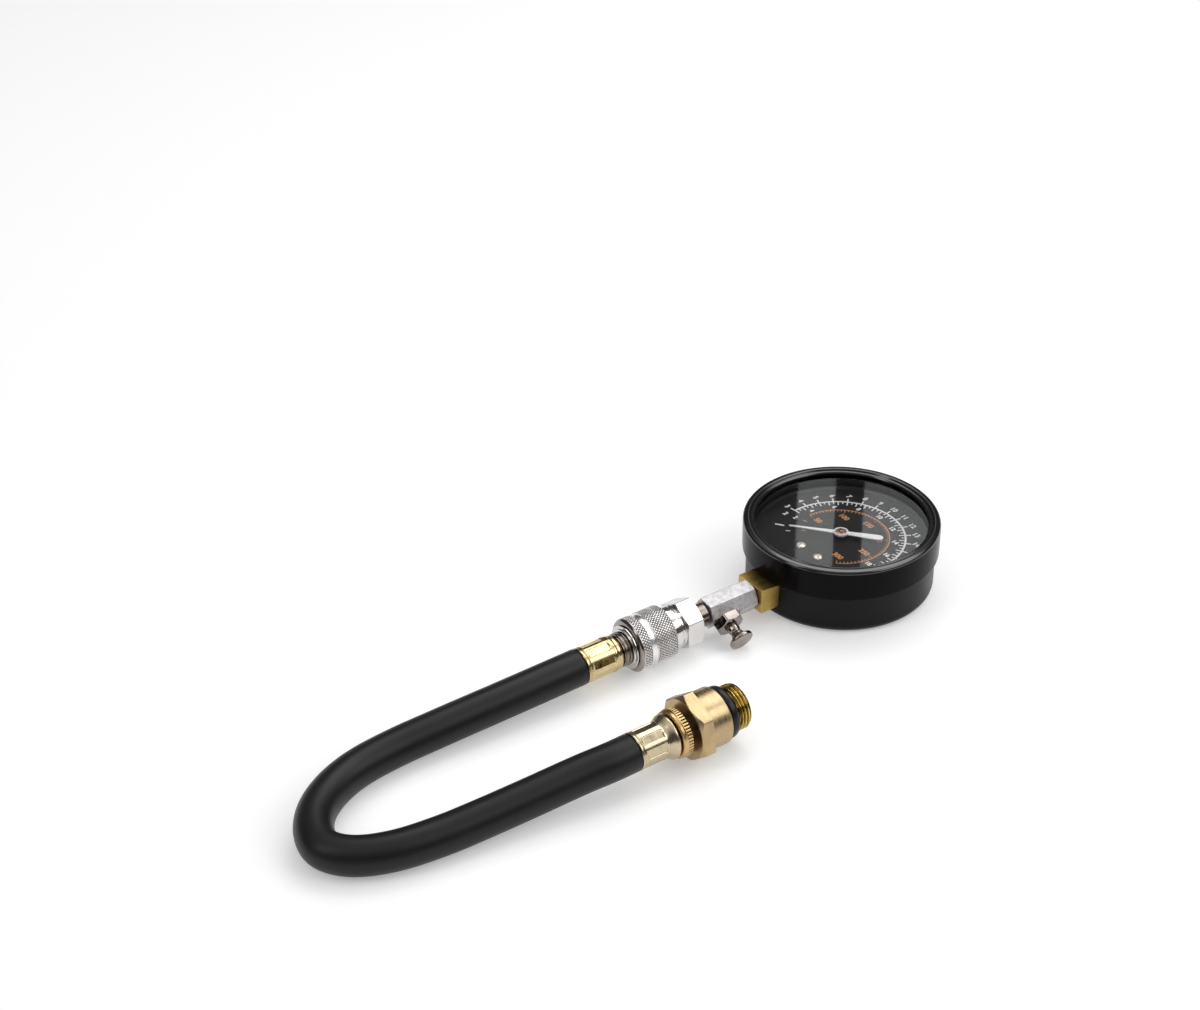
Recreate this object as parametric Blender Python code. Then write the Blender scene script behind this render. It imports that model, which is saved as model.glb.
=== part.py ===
"""Pressure gauge with release valve, quick coupler and adapter hose, built in millimetres.

The gauge lies on its back with its dial facing +Z.
Its stem, valve and coupler point toward -X, and the hose curves back toward -Y.
"""
import math

import bpy
import bmesh
from mathutils import Matrix, Vector

MM = 0.001

# Clearance that two touching pieces keep.
FIT = 0.3

# Gauge head
BEZEL_WALL = 1.3
BEZEL_HEIGHT = 13.5
BEZEL_LIP = 2.0
BEZEL_STEP = 0.6
HEAD_RISE = 13.5
BEZEL_FACE = 5.0
BEZEL_LAND = 3.3
CASE_WALL = 1.0
LENS_THICKNESS = 2.0
GASKET_HEIGHT = 1.5
GASKET_WIDTH = 2.5
DIAL_THICKNESS = 0.8
DIAL_DROP = 3.0
DIAL_HOLE_RADIUS = 1.6
DIAL_SCREW_INSET = 3.1
DIAL_SCREW_YS = (3.8, -6.7)
DIAL_SCREW_HEAD_RADIUS = 2.1
DIAL_SCREW_RADIUS = 1.0
DIAL_POST_RADIUS = 2.0

# Pointer, as it stands at zero
POINTER_ANGLE = 129.6
POINTER_LENGTH = 21.5
POINTER_TAIL = 17.3
POINTER_RISE = 1.6
POINTER_WIDTH = 2.2
POINTER_TIP_WIDTH = 0.7
POINTER_TAIL_WIDTH = 3.4
POINTER_THICKNESS = 0.4
POINTER_HUB_RADIUS = 3.0
POINTER_SWEEP = 264.0

# Gauge movement
PIVOT_RADIUS = 0.6
ARBOR_RADIUS = 1.0
GEAR_MODULE = 0.3
PINION_TEETH = 10
SECTOR_TEETH = 80
GEAR_WIDTH = 1.2
TOOTH_THICKNESS = 1.0
TOOTH_TOP = 0.75
TOOTH_ROOT = 1.15
PLATE_THICKNESS = 1.1
BASE_PLATE_Z = 4.8
BRIDGE_RISE = 2.1
PILLAR_RADIUS = 2.1
HAIRSPRING_REACH = 7.6
PILLAR_REACH = 17.2
PILLAR_X = 4.4
PILLAR_HOLE_DEPTH = 3.6
MOVEMENT_SCREW_INSET = 5.5
MOVEMENT_SCREW_YS = (2.7, -2.7)
HAIRSPRING_DROP = 3.0
HAIRSPRING_WIDTH = 1.3
HAIRSPRING_TURNS = 3
SMALL_SCREW_RADIUS = 0.9
PLATE_SCREW_RADIUS = 1.0
TAIL_LENGTH = 7.0
TAIL_ANGLE = 193.0
LINK_THICKNESS = 0.8
LINK_CLEARANCE = 0.2
LINK_SLOT = 4.6
TUBE_SPACE = 9.8
TUBE_INSET = 10.4
TUBE_END = -92.8
TUBE_HEIGHT = 9.0
TUBE_WIDTH = 2.6
TUBE_WALL = 0.45
TUBE_DROP = 1.4
TIP_MARGIN = 0.2
TUBE_LEAD = 4.5
TUBE_PORT_RADIUS = 1.1
TIP_PIN_INSET = 4.0
TIP_PIN_ANGLE = -96.0

# Stem block and inner socket
STEM_Z = 11.4
STEM_WIDTH = 15.0
STEM_HEIGHT = 10.6
STEM_REACH = 6.6
SOCKET_INSET = 3.8
SOCKET_LENGTH = 19.0
SOCKET_HALF_WIDTH = 11.0
TONGUE_LENGTH = 12.5
TONGUE_HALF_WIDTH = 5.0
PORT_RADIUS = 1.6
SPIGOT_RADIUS = 3.2
SPIGOT_LENGTH = 3.6
CASE_SCREW_INSET = 3.1
CASE_SCREW_YS = (6.0, -6.0)
CASE_SCREW_RADIUS = 1.2
CASE_SCREW_HEAD_RADIUS = 2.3

# Release valve
VALVE_FLATS = 11.2
VALVE_LENGTH = 22.4
VALVE_TURN = 6.5
VALVE_BORE_RADIUS = 2.0
BUTTON_INSET = 6.7
BUTTON_TILT = 23.0
BUTTON_NUT_FLATS = 11.0
BUTTON_NUT_HEIGHT = 3.7
BUTTON_HEAD_RADIUS = 5.1
BUTTON_HEAD_TOP = 17.8
BUTTON_HEAD_HEIGHT = 2.0
BUTTON_NECK_RADIUS = 2.5
BUTTON_STEM_RADIUS = 1.05
BUTTON_TRAVEL = 1.7
BUTTON_NUT_BORE = 6.9
BUTTON_NUT_TUBE = 2.6
BUTTON_SPOT_FACE_RADIUS = 6.7

# Quick coupler
COUPLER_NECK_RADIUS = 4.9
COUPLER_NECK_LENGTH = 6.3
COUPLER_HEX_RISE = 0.2
COUPLER_HEX_LENGTH = 7.9
COUPLER_HEX_TURN = 30.0
COLLAR_RISE = 1.0
COLLAR_LENGTH = 5.7
SPRING_SPACE = 1.5
SLEEVE_LENGTH = 17.4
SLEEVE_TRAVEL = 4.0
SLEEVE_WALL = 1.5
KNURL_DEPTH = 0.35
KNURL_COLUMNS = 42
WIDE_BAND = 9.4
NARROW_BAND = 5.0
SOCKET_TUBE_WALL = 1.4
PLUG_RADIUS = 6.3
BALL_RADIUS = 1.25
BALL_COUNT = 6
BALL_INSET = 7.1
PLUG_INSET = 2.5
SPRING_WIRE = 0.42

# Hose and its fittings
HOSE_RADIUS = 7.3
FERRULE_DROP = 0.05
FERRULE_LENGTH = 17.0
HOSE_LEAD = 9.0
HOSE_GAP = 5.1
NIPPLE_RADIUS = 3.5
HOSE_BORE_RADIUS = 2.2
SHANK_RADIUS = 4.5
SHANK_LENGTH = 7.5
FAR_Y = -56.6
FAR_Z = 13.8
FAR_LIP_X = -144.4
FAR_FERRULE_LENGTH = 16.1
FERRULE_BELL_RADIUS = 8.8
HAND_RING_RADIUS = 9.6
HAND_RING_LENGTH = 4.4
RIB_COLUMNS = 60
RIB_DEPTH = 0.3
NIPPLE_RING_RADIUS = 5.0
ADAPTER_X = -121.5
ADAPTER_FLATS = 24.0
ADAPTER_HEX_LENGTH = 5.8
ADAPTER_TURN = 81.0
ADAPTER_BODY_RADIUS = 11.3
ADAPTER_BODY_LENGTH = 9.2
O_RING_RADIUS = 10.4
O_RING_WIDTH = 3.4
THREAD_RADIUS = 9.0
THREAD_PITCH = 1.5
THREAD_LENGTH = 6.3
THREAD_DEPTH = 0.9
ADAPTER_BORE_RADIUS = 2.6

# Centre line of the hose between its two ferrules: x, y, z
HOSE_ROUTE = (
    (-160.0, 0.6, 10.4), (-190.0, 2.0, 8.8), (-210.0, 2.6, 7.7), (-226.0, 0.8, 7.4),
    (-239.0, -4.0, 7.4), (-249.5, -11.5, 7.4), (-256.0, -21.0, 7.4), (-257.5, -31.0, 7.4),
    (-251.0, -40.0, 7.4), (-238.0, -46.0, 7.4), (-221.0, -49.0, 7.6), (-204.0, -50.8, 8.6),
    (-186.0, -52.6, 10.2), (-166.0, -54.8, 12.4),
)
HOSE_POINT_COUNT = 34

# Facets round a piece
HEAD_SEGMENTS = 60
BODY_SEGMENTS = 24
SMALL_SEGMENTS = 12
SHARP_ANGLE = math.radians(35.0)

# Derived heights of the movement, one above the other
TUBE_Z = STEM_Z - TUBE_DROP
SECTOR_Z = TUBE_Z
TIP_TOP = TUBE_Z + TUBE_HEIGHT / 2 + TIP_MARGIN
LINK_Z = TIP_TOP + LINK_CLEARANCE
BRIDGE_Z = LINK_Z + BRIDGE_RISE
PILLAR_TOP = BRIDGE_Z - FIT
HEAD_HEIGHT = BRIDGE_Z + HEAD_RISE

# Derived sizes of the gauge head
PILLAR_CENTRES = ((0.0, HAIRSPRING_REACH), (PILLAR_X, -PILLAR_REACH))
TUBE_RADIUS = PILLAR_REACH + TUBE_SPACE
CASE_INNER = TUBE_RADIUS + TUBE_INSET
CASE_RADIUS = CASE_INNER + CASE_WALL
BEZEL_RADIUS = CASE_RADIUS + FIT + BEZEL_WALL
WINDOW_RADIUS = BEZEL_RADIUS - BEZEL_FACE
LENS_TOP = HEAD_HEIGHT - BEZEL_LIP - FIT
LENS_BOTTOM = LENS_TOP - LENS_THICKNESS
GASKET_TOP = LENS_BOTTOM - FIT
CASE_TOP = GASKET_TOP - GASKET_HEIGHT - FIT
DIAL_TOP = CASE_TOP - DIAL_DROP
DIAL_BOTTOM = DIAL_TOP - DIAL_THICKNESS
POST_TOP = DIAL_BOTTOM - FIT
STEM_TOP = STEM_Z + STEM_HEIGHT / 2
POINTER_Z = DIAL_TOP + POINTER_RISE

# Derived sizes of the movement
PINION_PITCH = GEAR_MODULE * PINION_TEETH / 2
SECTOR_PITCH = GEAR_MODULE * SECTOR_TEETH / 2
SECTOR_Y = -(PINION_PITCH + SECTOR_PITCH)
SECTOR_SWEEP = POINTER_SWEEP * PINION_TEETH / SECTOR_TEETH
TUBE_SIDE_Y = SOCKET_HALF_WIDTH + 0.4
TUBE_START = 180.0 - math.degrees(math.asin(TUBE_SIDE_Y / TUBE_RADIUS))

# Derived stations along the stem
STEM_END_X = -(BEZEL_RADIUS + STEM_REACH)
SOCKET_OUTER_X = SOCKET_INSET - CASE_INNER
SOCKET_INNER_X = SOCKET_OUTER_X + SOCKET_LENGTH
TONGUE_END_X = SOCKET_INNER_X + TONGUE_LENGTH
DIAL_SCREW_X = SOCKET_INNER_X - DIAL_SCREW_INSET
CASE_SCREW_X = SOCKET_OUTER_X + CASE_SCREW_INSET
MOVEMENT_SCREW_X = SOCKET_INNER_X + MOVEMENT_SCREW_INSET
MOVEMENT_SCREWS = [(MOVEMENT_SCREW_X, y) for y in MOVEMENT_SCREW_YS]
VALVE_END_X = STEM_END_X - FIT
VALVE_FAR_X = VALVE_END_X - VALVE_LENGTH
BUTTON_X = VALVE_FAR_X + BUTTON_INSET
COUPLER_TOP_X = VALVE_FAR_X - FIT
COUPLER_HEX_X = COUPLER_TOP_X - COUPLER_NECK_LENGTH
COLLAR_X = COUPLER_HEX_X - COUPLER_HEX_LENGTH
SLEEVE_TOP_X = COLLAR_X - COLLAR_LENGTH
SLEEVE_END_X = SLEEVE_TOP_X - SLEEVE_LENGTH
SOCKET_BORE = PLUG_RADIUS + FIT
SOCKET_TUBE_RADIUS = SOCKET_BORE + SOCKET_TUBE_WALL
COLLAR_RADIUS = SOCKET_TUBE_RADIUS + COLLAR_RISE
COUPLER_FLATS = 2 * (COLLAR_RADIUS + COUPLER_HEX_RISE)
SLEEVE_BORE = SOCKET_TUBE_RADIUS + SPRING_SPACE
SLEEVE_RADIUS = SLEEVE_BORE + SLEEVE_WALL
PLUG_NOSE_X = SLEEVE_TOP_X - PLUG_INSET
BALL_X = SLEEVE_END_X + BALL_INSET
BALL_SEAT_RADIUS = SOCKET_TUBE_RADIUS - BALL_RADIUS
FERRULE_RADIUS = HOSE_RADIUS - FERRULE_DROP
HOSE_START_X = SLEEVE_END_X - HOSE_GAP - FIT - FERRULE_LENGTH

CREATED = {}


def clear_scene():
    """Remove every object that the file starts with."""
    for item in list(bpy.data.objects):
        bpy.data.objects.remove(item, do_unlink=True)


def finish_of(name, colour, roughness, metallic):
    """Return a plain material."""
    made = bpy.data.materials.new(name)
    made.use_nodes = True
    shader = made.node_tree.nodes["Principled BSDF"]
    shader.inputs["Base Color"].default_value = (*colour, 1.0)
    shader.inputs["Roughness"].default_value = roughness
    shader.inputs["Metallic"].default_value = metallic
    return made


FINISHES = {
    "black_paint": ((0.012, 0.012, 0.013), 0.32, 0.0),
    "black_dial": ((0.016, 0.016, 0.018), 0.55, 0.0),
    "glass": ((0.90, 0.93, 0.94), 0.04, 0.0),
    "black_rubber": ((0.018, 0.018, 0.019), 0.72, 0.0),
    "white_paint": ((0.86, 0.87, 0.88), 0.40, 0.0),
    "brass": ((0.72, 0.50, 0.20), 0.34, 1.0),
    "zinc_yellow": ((0.70, 0.58, 0.30), 0.30, 1.0),
    "nickel": ((0.72, 0.72, 0.71), 0.18, 1.0),
    "dark_chrome": ((0.42, 0.42, 0.43), 0.20, 1.0),
    "steel": ((0.58, 0.58, 0.57), 0.36, 1.0),
    "spring_steel": ((0.40, 0.40, 0.41), 0.40, 1.0),
}


def register(obj, name, finish):
    """Name an object, give it a material of its own and keep it."""
    obj.name = name
    obj.data.name = name
    obj.data.materials.clear()
    obj.data.materials.append(finish_of(name + "_finish", *FINISHES[finish]))
    CREATED[name] = obj
    return obj


def axis_frame(origin, along, side):
    """Return a matrix whose x runs along an axis and whose y is the side direction."""
    a = Vector(along).normalized()
    b = Vector(side)
    b = (b - a * b.dot(a)).normalized()
    c = a.cross(b)
    turned = Matrix((a, b, c)).transposed().to_4x4()
    return Matrix.Translation(Vector(origin)) @ turned


UP = axis_frame((0, 0, 0), (0, 0, 1), (1, 0, 0))
STEM = axis_frame((0, 0, STEM_Z), (1, 0, 0), (0, 1, 0))
FAR = axis_frame((0, FAR_Y, FAR_Z), (1, 0, 0), (0, 1, 0))
TILT = math.radians(BUTTON_TILT)
BUTTON = axis_frame((BUTTON_X, 0, STEM_Z), (0, -math.cos(TILT), -math.sin(TILT)), (1, 0, 0))


def upright(x, y):
    """Return a vertical axis frame through a point."""
    return axis_frame((x, y, 0), (0, 0, 1), (1, 0, 0))


def shade(build):
    """Shade a mesh smooth between its sharp edges."""
    for face in build.faces:
        face.smooth = True
    for edge in build.edges:
        if len(edge.link_faces) == 2 and edge.calc_face_angle(0.0) > SHARP_ANGLE:
            edge.smooth = False


def mesh_object(build):
    """Turn a bmesh in millimetres into an object in metres, facing out."""
    bmesh.ops.recalc_face_normals(build, faces=build.faces)
    if build.calc_volume(signed=True) < 0:
        bmesh.ops.reverse_faces(build, faces=build.faces)
    bmesh.ops.scale(build, vec=(MM, MM, MM), verts=build.verts)
    shade(build)
    mesh = bpy.data.meshes.new("made")
    build.to_mesh(mesh)
    build.free()
    obj = bpy.data.objects.new("made", mesh)
    bpy.context.scene.collection.objects.link(obj)
    return obj


def lathe(frame, loop, segments, start=0.0, shape=None):
    """Turn a closed loop of (along, radius) about a frame's axis.

    The shape function may change the radius by position and angle.
    """
    build = bmesh.new()
    rings = []
    for along, radius in loop:
        if radius <= 0.0:
            rings.append([build.verts.new(frame @ Vector((along, 0, 0)))])
            continue
        ring = []
        for step in range(segments):
            angle = math.radians(start) + 2 * math.pi * step / segments
            r = shape(along, angle, radius) if shape else radius
            spot = Vector((along, r * math.cos(angle), r * math.sin(angle)))
            ring.append(build.verts.new(frame @ spot))
        rings.append(ring)
    for here, there in zip(rings, rings[1:] + rings[:1]):
        for step in range(segments):
            after = (step + 1) % segments
            if len(here) == 1 and len(there) == 1:
                break
            if len(here) == 1:
                build.faces.new((here[0], there[after], there[step]))
            elif len(there) == 1:
                build.faces.new((here[step], here[after], there[0]))
            else:
                build.faces.new((here[step], here[after], there[after], there[step]))
    return mesh_object(build)


def cylinder(frame, start, end, radius, segments=SMALL_SEGMENTS):
    """Return a plain cylinder."""
    return lathe(frame, ((start, 0), (start, radius), (end, radius), (end, 0)), segments)


def polygon_radius(angle, turn, flats, sides=6):
    """Return how far a regular polygon's side lies from its centre at an angle."""
    half = math.pi / sides
    within = (angle - math.radians(turn)) % (2 * half) - half
    return flats / 2 / math.cos(within)


def hexagon(turn, flats, first, last):
    """Return a shape function that makes a hexagon between two stations."""
    def shape(along, angle, radius):
        if first - 1e-6 <= along <= last + 1e-6 and radius > flats * 0.49:
            return min(radius, polygon_radius(angle, turn, flats))
        return radius
    return shape


def chamfered(start, end, flats, start_cut, end_cut):
    """Return loop points for a hexagon whose corners are turned off at its ends."""
    face = flats / 2
    corner = face / math.cos(math.pi / 6)
    rise = corner - face
    points = [(start, face)]
    if start_cut:
        for part in (0.35, 0.7, 1.0):
            points.append((start + start_cut * part, face + rise * part))
    else:
        points[0] = (start, corner)
    if end_cut:
        for part in (1.0, 0.7, 0.35):
            points.append((end - end_cut * part, face + rise * part))
        points.append((end, face))
    else:
        points.append((end, corner))
    return points


def prism(frame, outline, start, end):
    """Extrude a closed outline of (b, c) points along a frame's axis."""
    build = bmesh.new()
    low = [build.verts.new(frame @ Vector((start, b, c))) for b, c in outline]
    high = [build.verts.new(frame @ Vector((end, b, c))) for b, c in outline]
    build.faces.new(low[::-1])
    build.faces.new(high)
    count = len(outline)
    for step in range(count):
        after = (step + 1) % count
        build.faces.new((low[step], low[after], high[after], high[step]))
    return mesh_object(build)


def block(x0, x1, y0, y1, z0, z1):
    """Return a box."""
    return prism(UP, ((x0, y0), (x1, y0), (x1, y1), (x0, y1)), z0, z1)


def combine(target, tools, operation):
    """Join or cut a target with tools, one after another, and remove the tools."""
    for tool in tools:
        change = target.modifiers.new("change", "BOOLEAN")
        change.operation = operation
        change.solver = "EXACT"
        change.object = tool
        graph = bpy.context.evaluated_depsgraph_get()
        made = bpy.data.meshes.new_from_object(target.evaluated_get(graph))
        target.modifiers.clear()
        old = target.data
        target.data = made
        bpy.data.meshes.remove(old)
        bpy.data.objects.remove(tool, do_unlink=True)
        build = bmesh.new()
        build.from_mesh(made)
        bmesh.ops.remove_doubles(build, verts=build.verts, dist=1e-7)
        bmesh.ops.dissolve_limit(build, angle_limit=math.radians(0.2), verts=build.verts,
                                 edges=build.edges)
        shade(build)
        build.to_mesh(made)
        build.free()
    return target


def hull(circles, steps=10):
    """Return the outline that a band drawn round some circles (x, y, radius) takes."""
    spots = []
    for x, y, radius in circles:
        for step in range(steps * 2):
            angle = math.pi * step / steps
            spots.append((x + radius * math.cos(angle), y + radius * math.sin(angle)))
    spots = sorted(set(spots))

    def half(points):
        kept = []
        for point in points:
            while len(kept) > 1 and turn_of(kept[-2], kept[-1], point) <= 1e-9:
                kept.pop()
            kept.append(point)
        return kept[:-1]

    return half(spots) + half(spots[::-1])


def turn_of(first, second, third):
    """Return a positive value where three points turn left."""
    return ((second[0] - first[0]) * (third[1] - first[1])
            - (second[1] - first[1]) * (third[0] - first[0]))


def screw(frame, head_bottom, head_top, head_radius, radius, end):
    """Return a slotted cheese-head screw whose shank runs down to a station."""
    loop = ((end, 0), (end, radius * 0.6), (end + radius * 0.4, radius), (head_bottom, radius),
            (head_bottom, head_radius), (head_top - 0.25, head_radius),
            (head_top, head_radius - 0.25), (head_top, 0))
    made = lathe(frame, loop, SMALL_SEGMENTS)
    slot = prism(frame, ((-head_radius - 1, -0.3), (head_radius + 1, -0.3),
                         (head_radius + 1, 0.3), (-head_radius - 1, 0.3)),
                 head_top - 0.45, head_top + 1)
    return combine(made, [slot], "DIFFERENCE")


def point_on(radius, degrees, centre=(0.0, 0.0)):
    """Return a point at an angle on a circle."""
    angle = math.radians(degrees)
    return (centre[0] + radius * math.cos(angle), centre[1] + radius * math.sin(angle))


def build_case():
    """Make the case, its bezel and the glass with its gasket."""
    r = CASE_RADIUS
    inner = CASE_INNER
    loop = ((0, 0), (0, r - 2.2), (0.35, r - 1.0), (1.2, r - 0.25), (2.4, r), (CASE_TOP, r),
            (CASE_TOP, inner), (2.8, inner), (1.6, inner - 0.4), (CASE_WALL, inner - 1.6),
            (CASE_WALL, 0))
    case = lathe(UP, loop, HEAD_SEGMENTS)
    half_width = STEM_WIDTH / 2 + FIT
    half_height = STEM_HEIGHT / 2 + FIT
    gate = block(-r - 5, -inner + 6, -half_width, half_width,
                 STEM_Z - half_height, STEM_Z + half_height)
    tools = [gate]
    hole = CASE_SCREW_RADIUS + FIT
    sink = CASE_SCREW_HEAD_RADIUS + FIT + 0.2
    for y in CASE_SCREW_YS:
        tools.append(lathe(upright(CASE_SCREW_X, y), ((-1, 0), (-1, sink), (0, sink),
                                                      (CASE_WALL + 0.1, hole), (3, hole), (3, 0)),
                           SMALL_SEGMENTS))
    register(combine(case, tools, "DIFFERENCE"), "gauge_case", "black_paint")

    top = HEAD_HEIGHT
    low = HEAD_HEIGHT - BEZEL_HEIGHT
    wall = BEZEL_RADIUS - BEZEL_WALL
    under = top - BEZEL_LIP
    land = BEZEL_RADIUS - BEZEL_LAND
    loop = ((low, wall), (low, BEZEL_RADIUS - 0.4), (low + 0.4, BEZEL_RADIUS),
            (top - 2.3, BEZEL_RADIUS), (top - 1.1, BEZEL_RADIUS - 0.35),
            (top - 0.35, BEZEL_RADIUS - 1.1), (top, BEZEL_RADIUS - 2.3),
            (top, land), (top - 0.15, land - 0.25), (top - BEZEL_STEP, land - 0.4),
            (top - BEZEL_STEP - 0.1, WINDOW_RADIUS + 0.4), (under + 0.4, WINDOW_RADIUS),
            (under, WINDOW_RADIUS), (under, wall))
    register(lathe(UP, loop, HEAD_SEGMENTS), "bezel", "black_paint")

    outer = CASE_RADIUS - 0.1
    inside = outer - GASKET_WIDTH
    base = GASKET_TOP - GASKET_HEIGHT
    loop = ((base, inside), (base, outer), (GASKET_TOP, outer), (GASKET_TOP, inside))
    register(lathe(UP, loop, HEAD_SEGMENTS), "lens_gasket", "black_rubber")

    edge = CASE_RADIUS - 0.2
    loop = ((LENS_BOTTOM, 0), (LENS_BOTTOM, edge), (LENS_TOP - 0.2, edge),
            (LENS_TOP, edge - 0.2), (LENS_TOP, 0))
    register(lathe(UP, loop, HEAD_SEGMENTS), "lens", "glass")


def build_dial():
    """Make the dial, its screws and the pointer."""
    loop = ((DIAL_BOTTOM, 0), (DIAL_BOTTOM, CASE_INNER - 0.8), (DIAL_TOP, CASE_INNER - 0.8),
            (DIAL_TOP, 0))
    dial = lathe(UP, loop, HEAD_SEGMENTS)
    tools = [cylinder(UP, DIAL_BOTTOM - 1, DIAL_TOP + 1, DIAL_HOLE_RADIUS)]
    for y in DIAL_SCREW_YS:
        tools.append(cylinder(upright(DIAL_SCREW_X, y), DIAL_BOTTOM - 1, DIAL_TOP + 1,
                              DIAL_SCREW_RADIUS + FIT))
    register(combine(dial, tools, "DIFFERENCE"), "dial", "black_dial")
    for index, y in enumerate(DIAL_SCREW_YS):
        made = screw(upright(DIAL_SCREW_X, y), DIAL_TOP + FIT, DIAL_TOP + FIT + 1.0,
                     DIAL_SCREW_HEAD_RADIUS, DIAL_SCREW_RADIUS, POST_TOP - 3.0)
        register(made, "dial_screw_%d" % (index + 1), "nickel")

    half = POINTER_WIDTH / 2
    tip = POINTER_TIP_WIDTH / 2
    tail = POINTER_TAIL_WIDTH / 2
    outline = [(-POINTER_TAIL, 0.4 * tail), (-POINTER_TAIL, -0.4 * tail),
               (tail - POINTER_TAIL, -tail), (-POINTER_HUB_RADIUS, -half),
               (POINTER_HUB_RADIUS, -half), (POINTER_LENGTH, -tip), (POINTER_LENGTH, tip),
               (POINTER_HUB_RADIUS, half), (-POINTER_HUB_RADIUS, half),
               (tail - POINTER_TAIL, tail)]
    turn = math.radians(POINTER_ANGLE)
    turned = [(b * math.cos(turn) - c * math.sin(turn), b * math.sin(turn) + c * math.cos(turn))
              for b, c in outline]
    needle = prism(UP, turned, POINTER_Z, POINTER_Z + POINTER_THICKNESS)
    rim = POINTER_HUB_RADIUS
    hub = lathe(UP, ((POINTER_Z - 0.4, 0), (POINTER_Z - 0.4, rim - 0.9), (POINTER_Z - 0.1, rim),
                     (POINTER_Z + 0.7, rim), (POINTER_Z + 1.0, rim - 0.4), (POINTER_Z + 1.0, 0)),
                BODY_SEGMENTS)
    combine(needle, [hub], "UNION")
    bore = cylinder(UP, POINTER_Z - 2, POINTER_Z + 2, PIVOT_RADIUS + FIT)
    register(combine(needle, [bore], "DIFFERENCE"), "pointer", "white_paint")


def tooth_ring(pitch_radius, teeth, first, last, phase):
    """Return the outline points of gear teeth whose centres start at an angle."""
    pitch = 360.0 / teeth
    add = GEAR_MODULE * TOOTH_TOP
    ded = GEAR_MODULE * TOOTH_ROOT
    thick = math.degrees(GEAR_MODULE * TOOTH_THICKNESS / pitch_radius)
    points = []
    for index in range(first, last + 1):
        middle = phase + index * pitch
        points.append(point_on(pitch_radius - ded, middle - thick * 0.62))
        points.append(point_on(pitch_radius, middle - thick * 0.5))
        points.append(point_on(pitch_radius + add, middle - thick * 0.24))
        points.append(point_on(pitch_radius + add, middle + thick * 0.24))
        points.append(point_on(pitch_radius, middle + thick * 0.5))
        points.append(point_on(pitch_radius - ded, middle + thick * 0.62))
    return points


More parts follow.
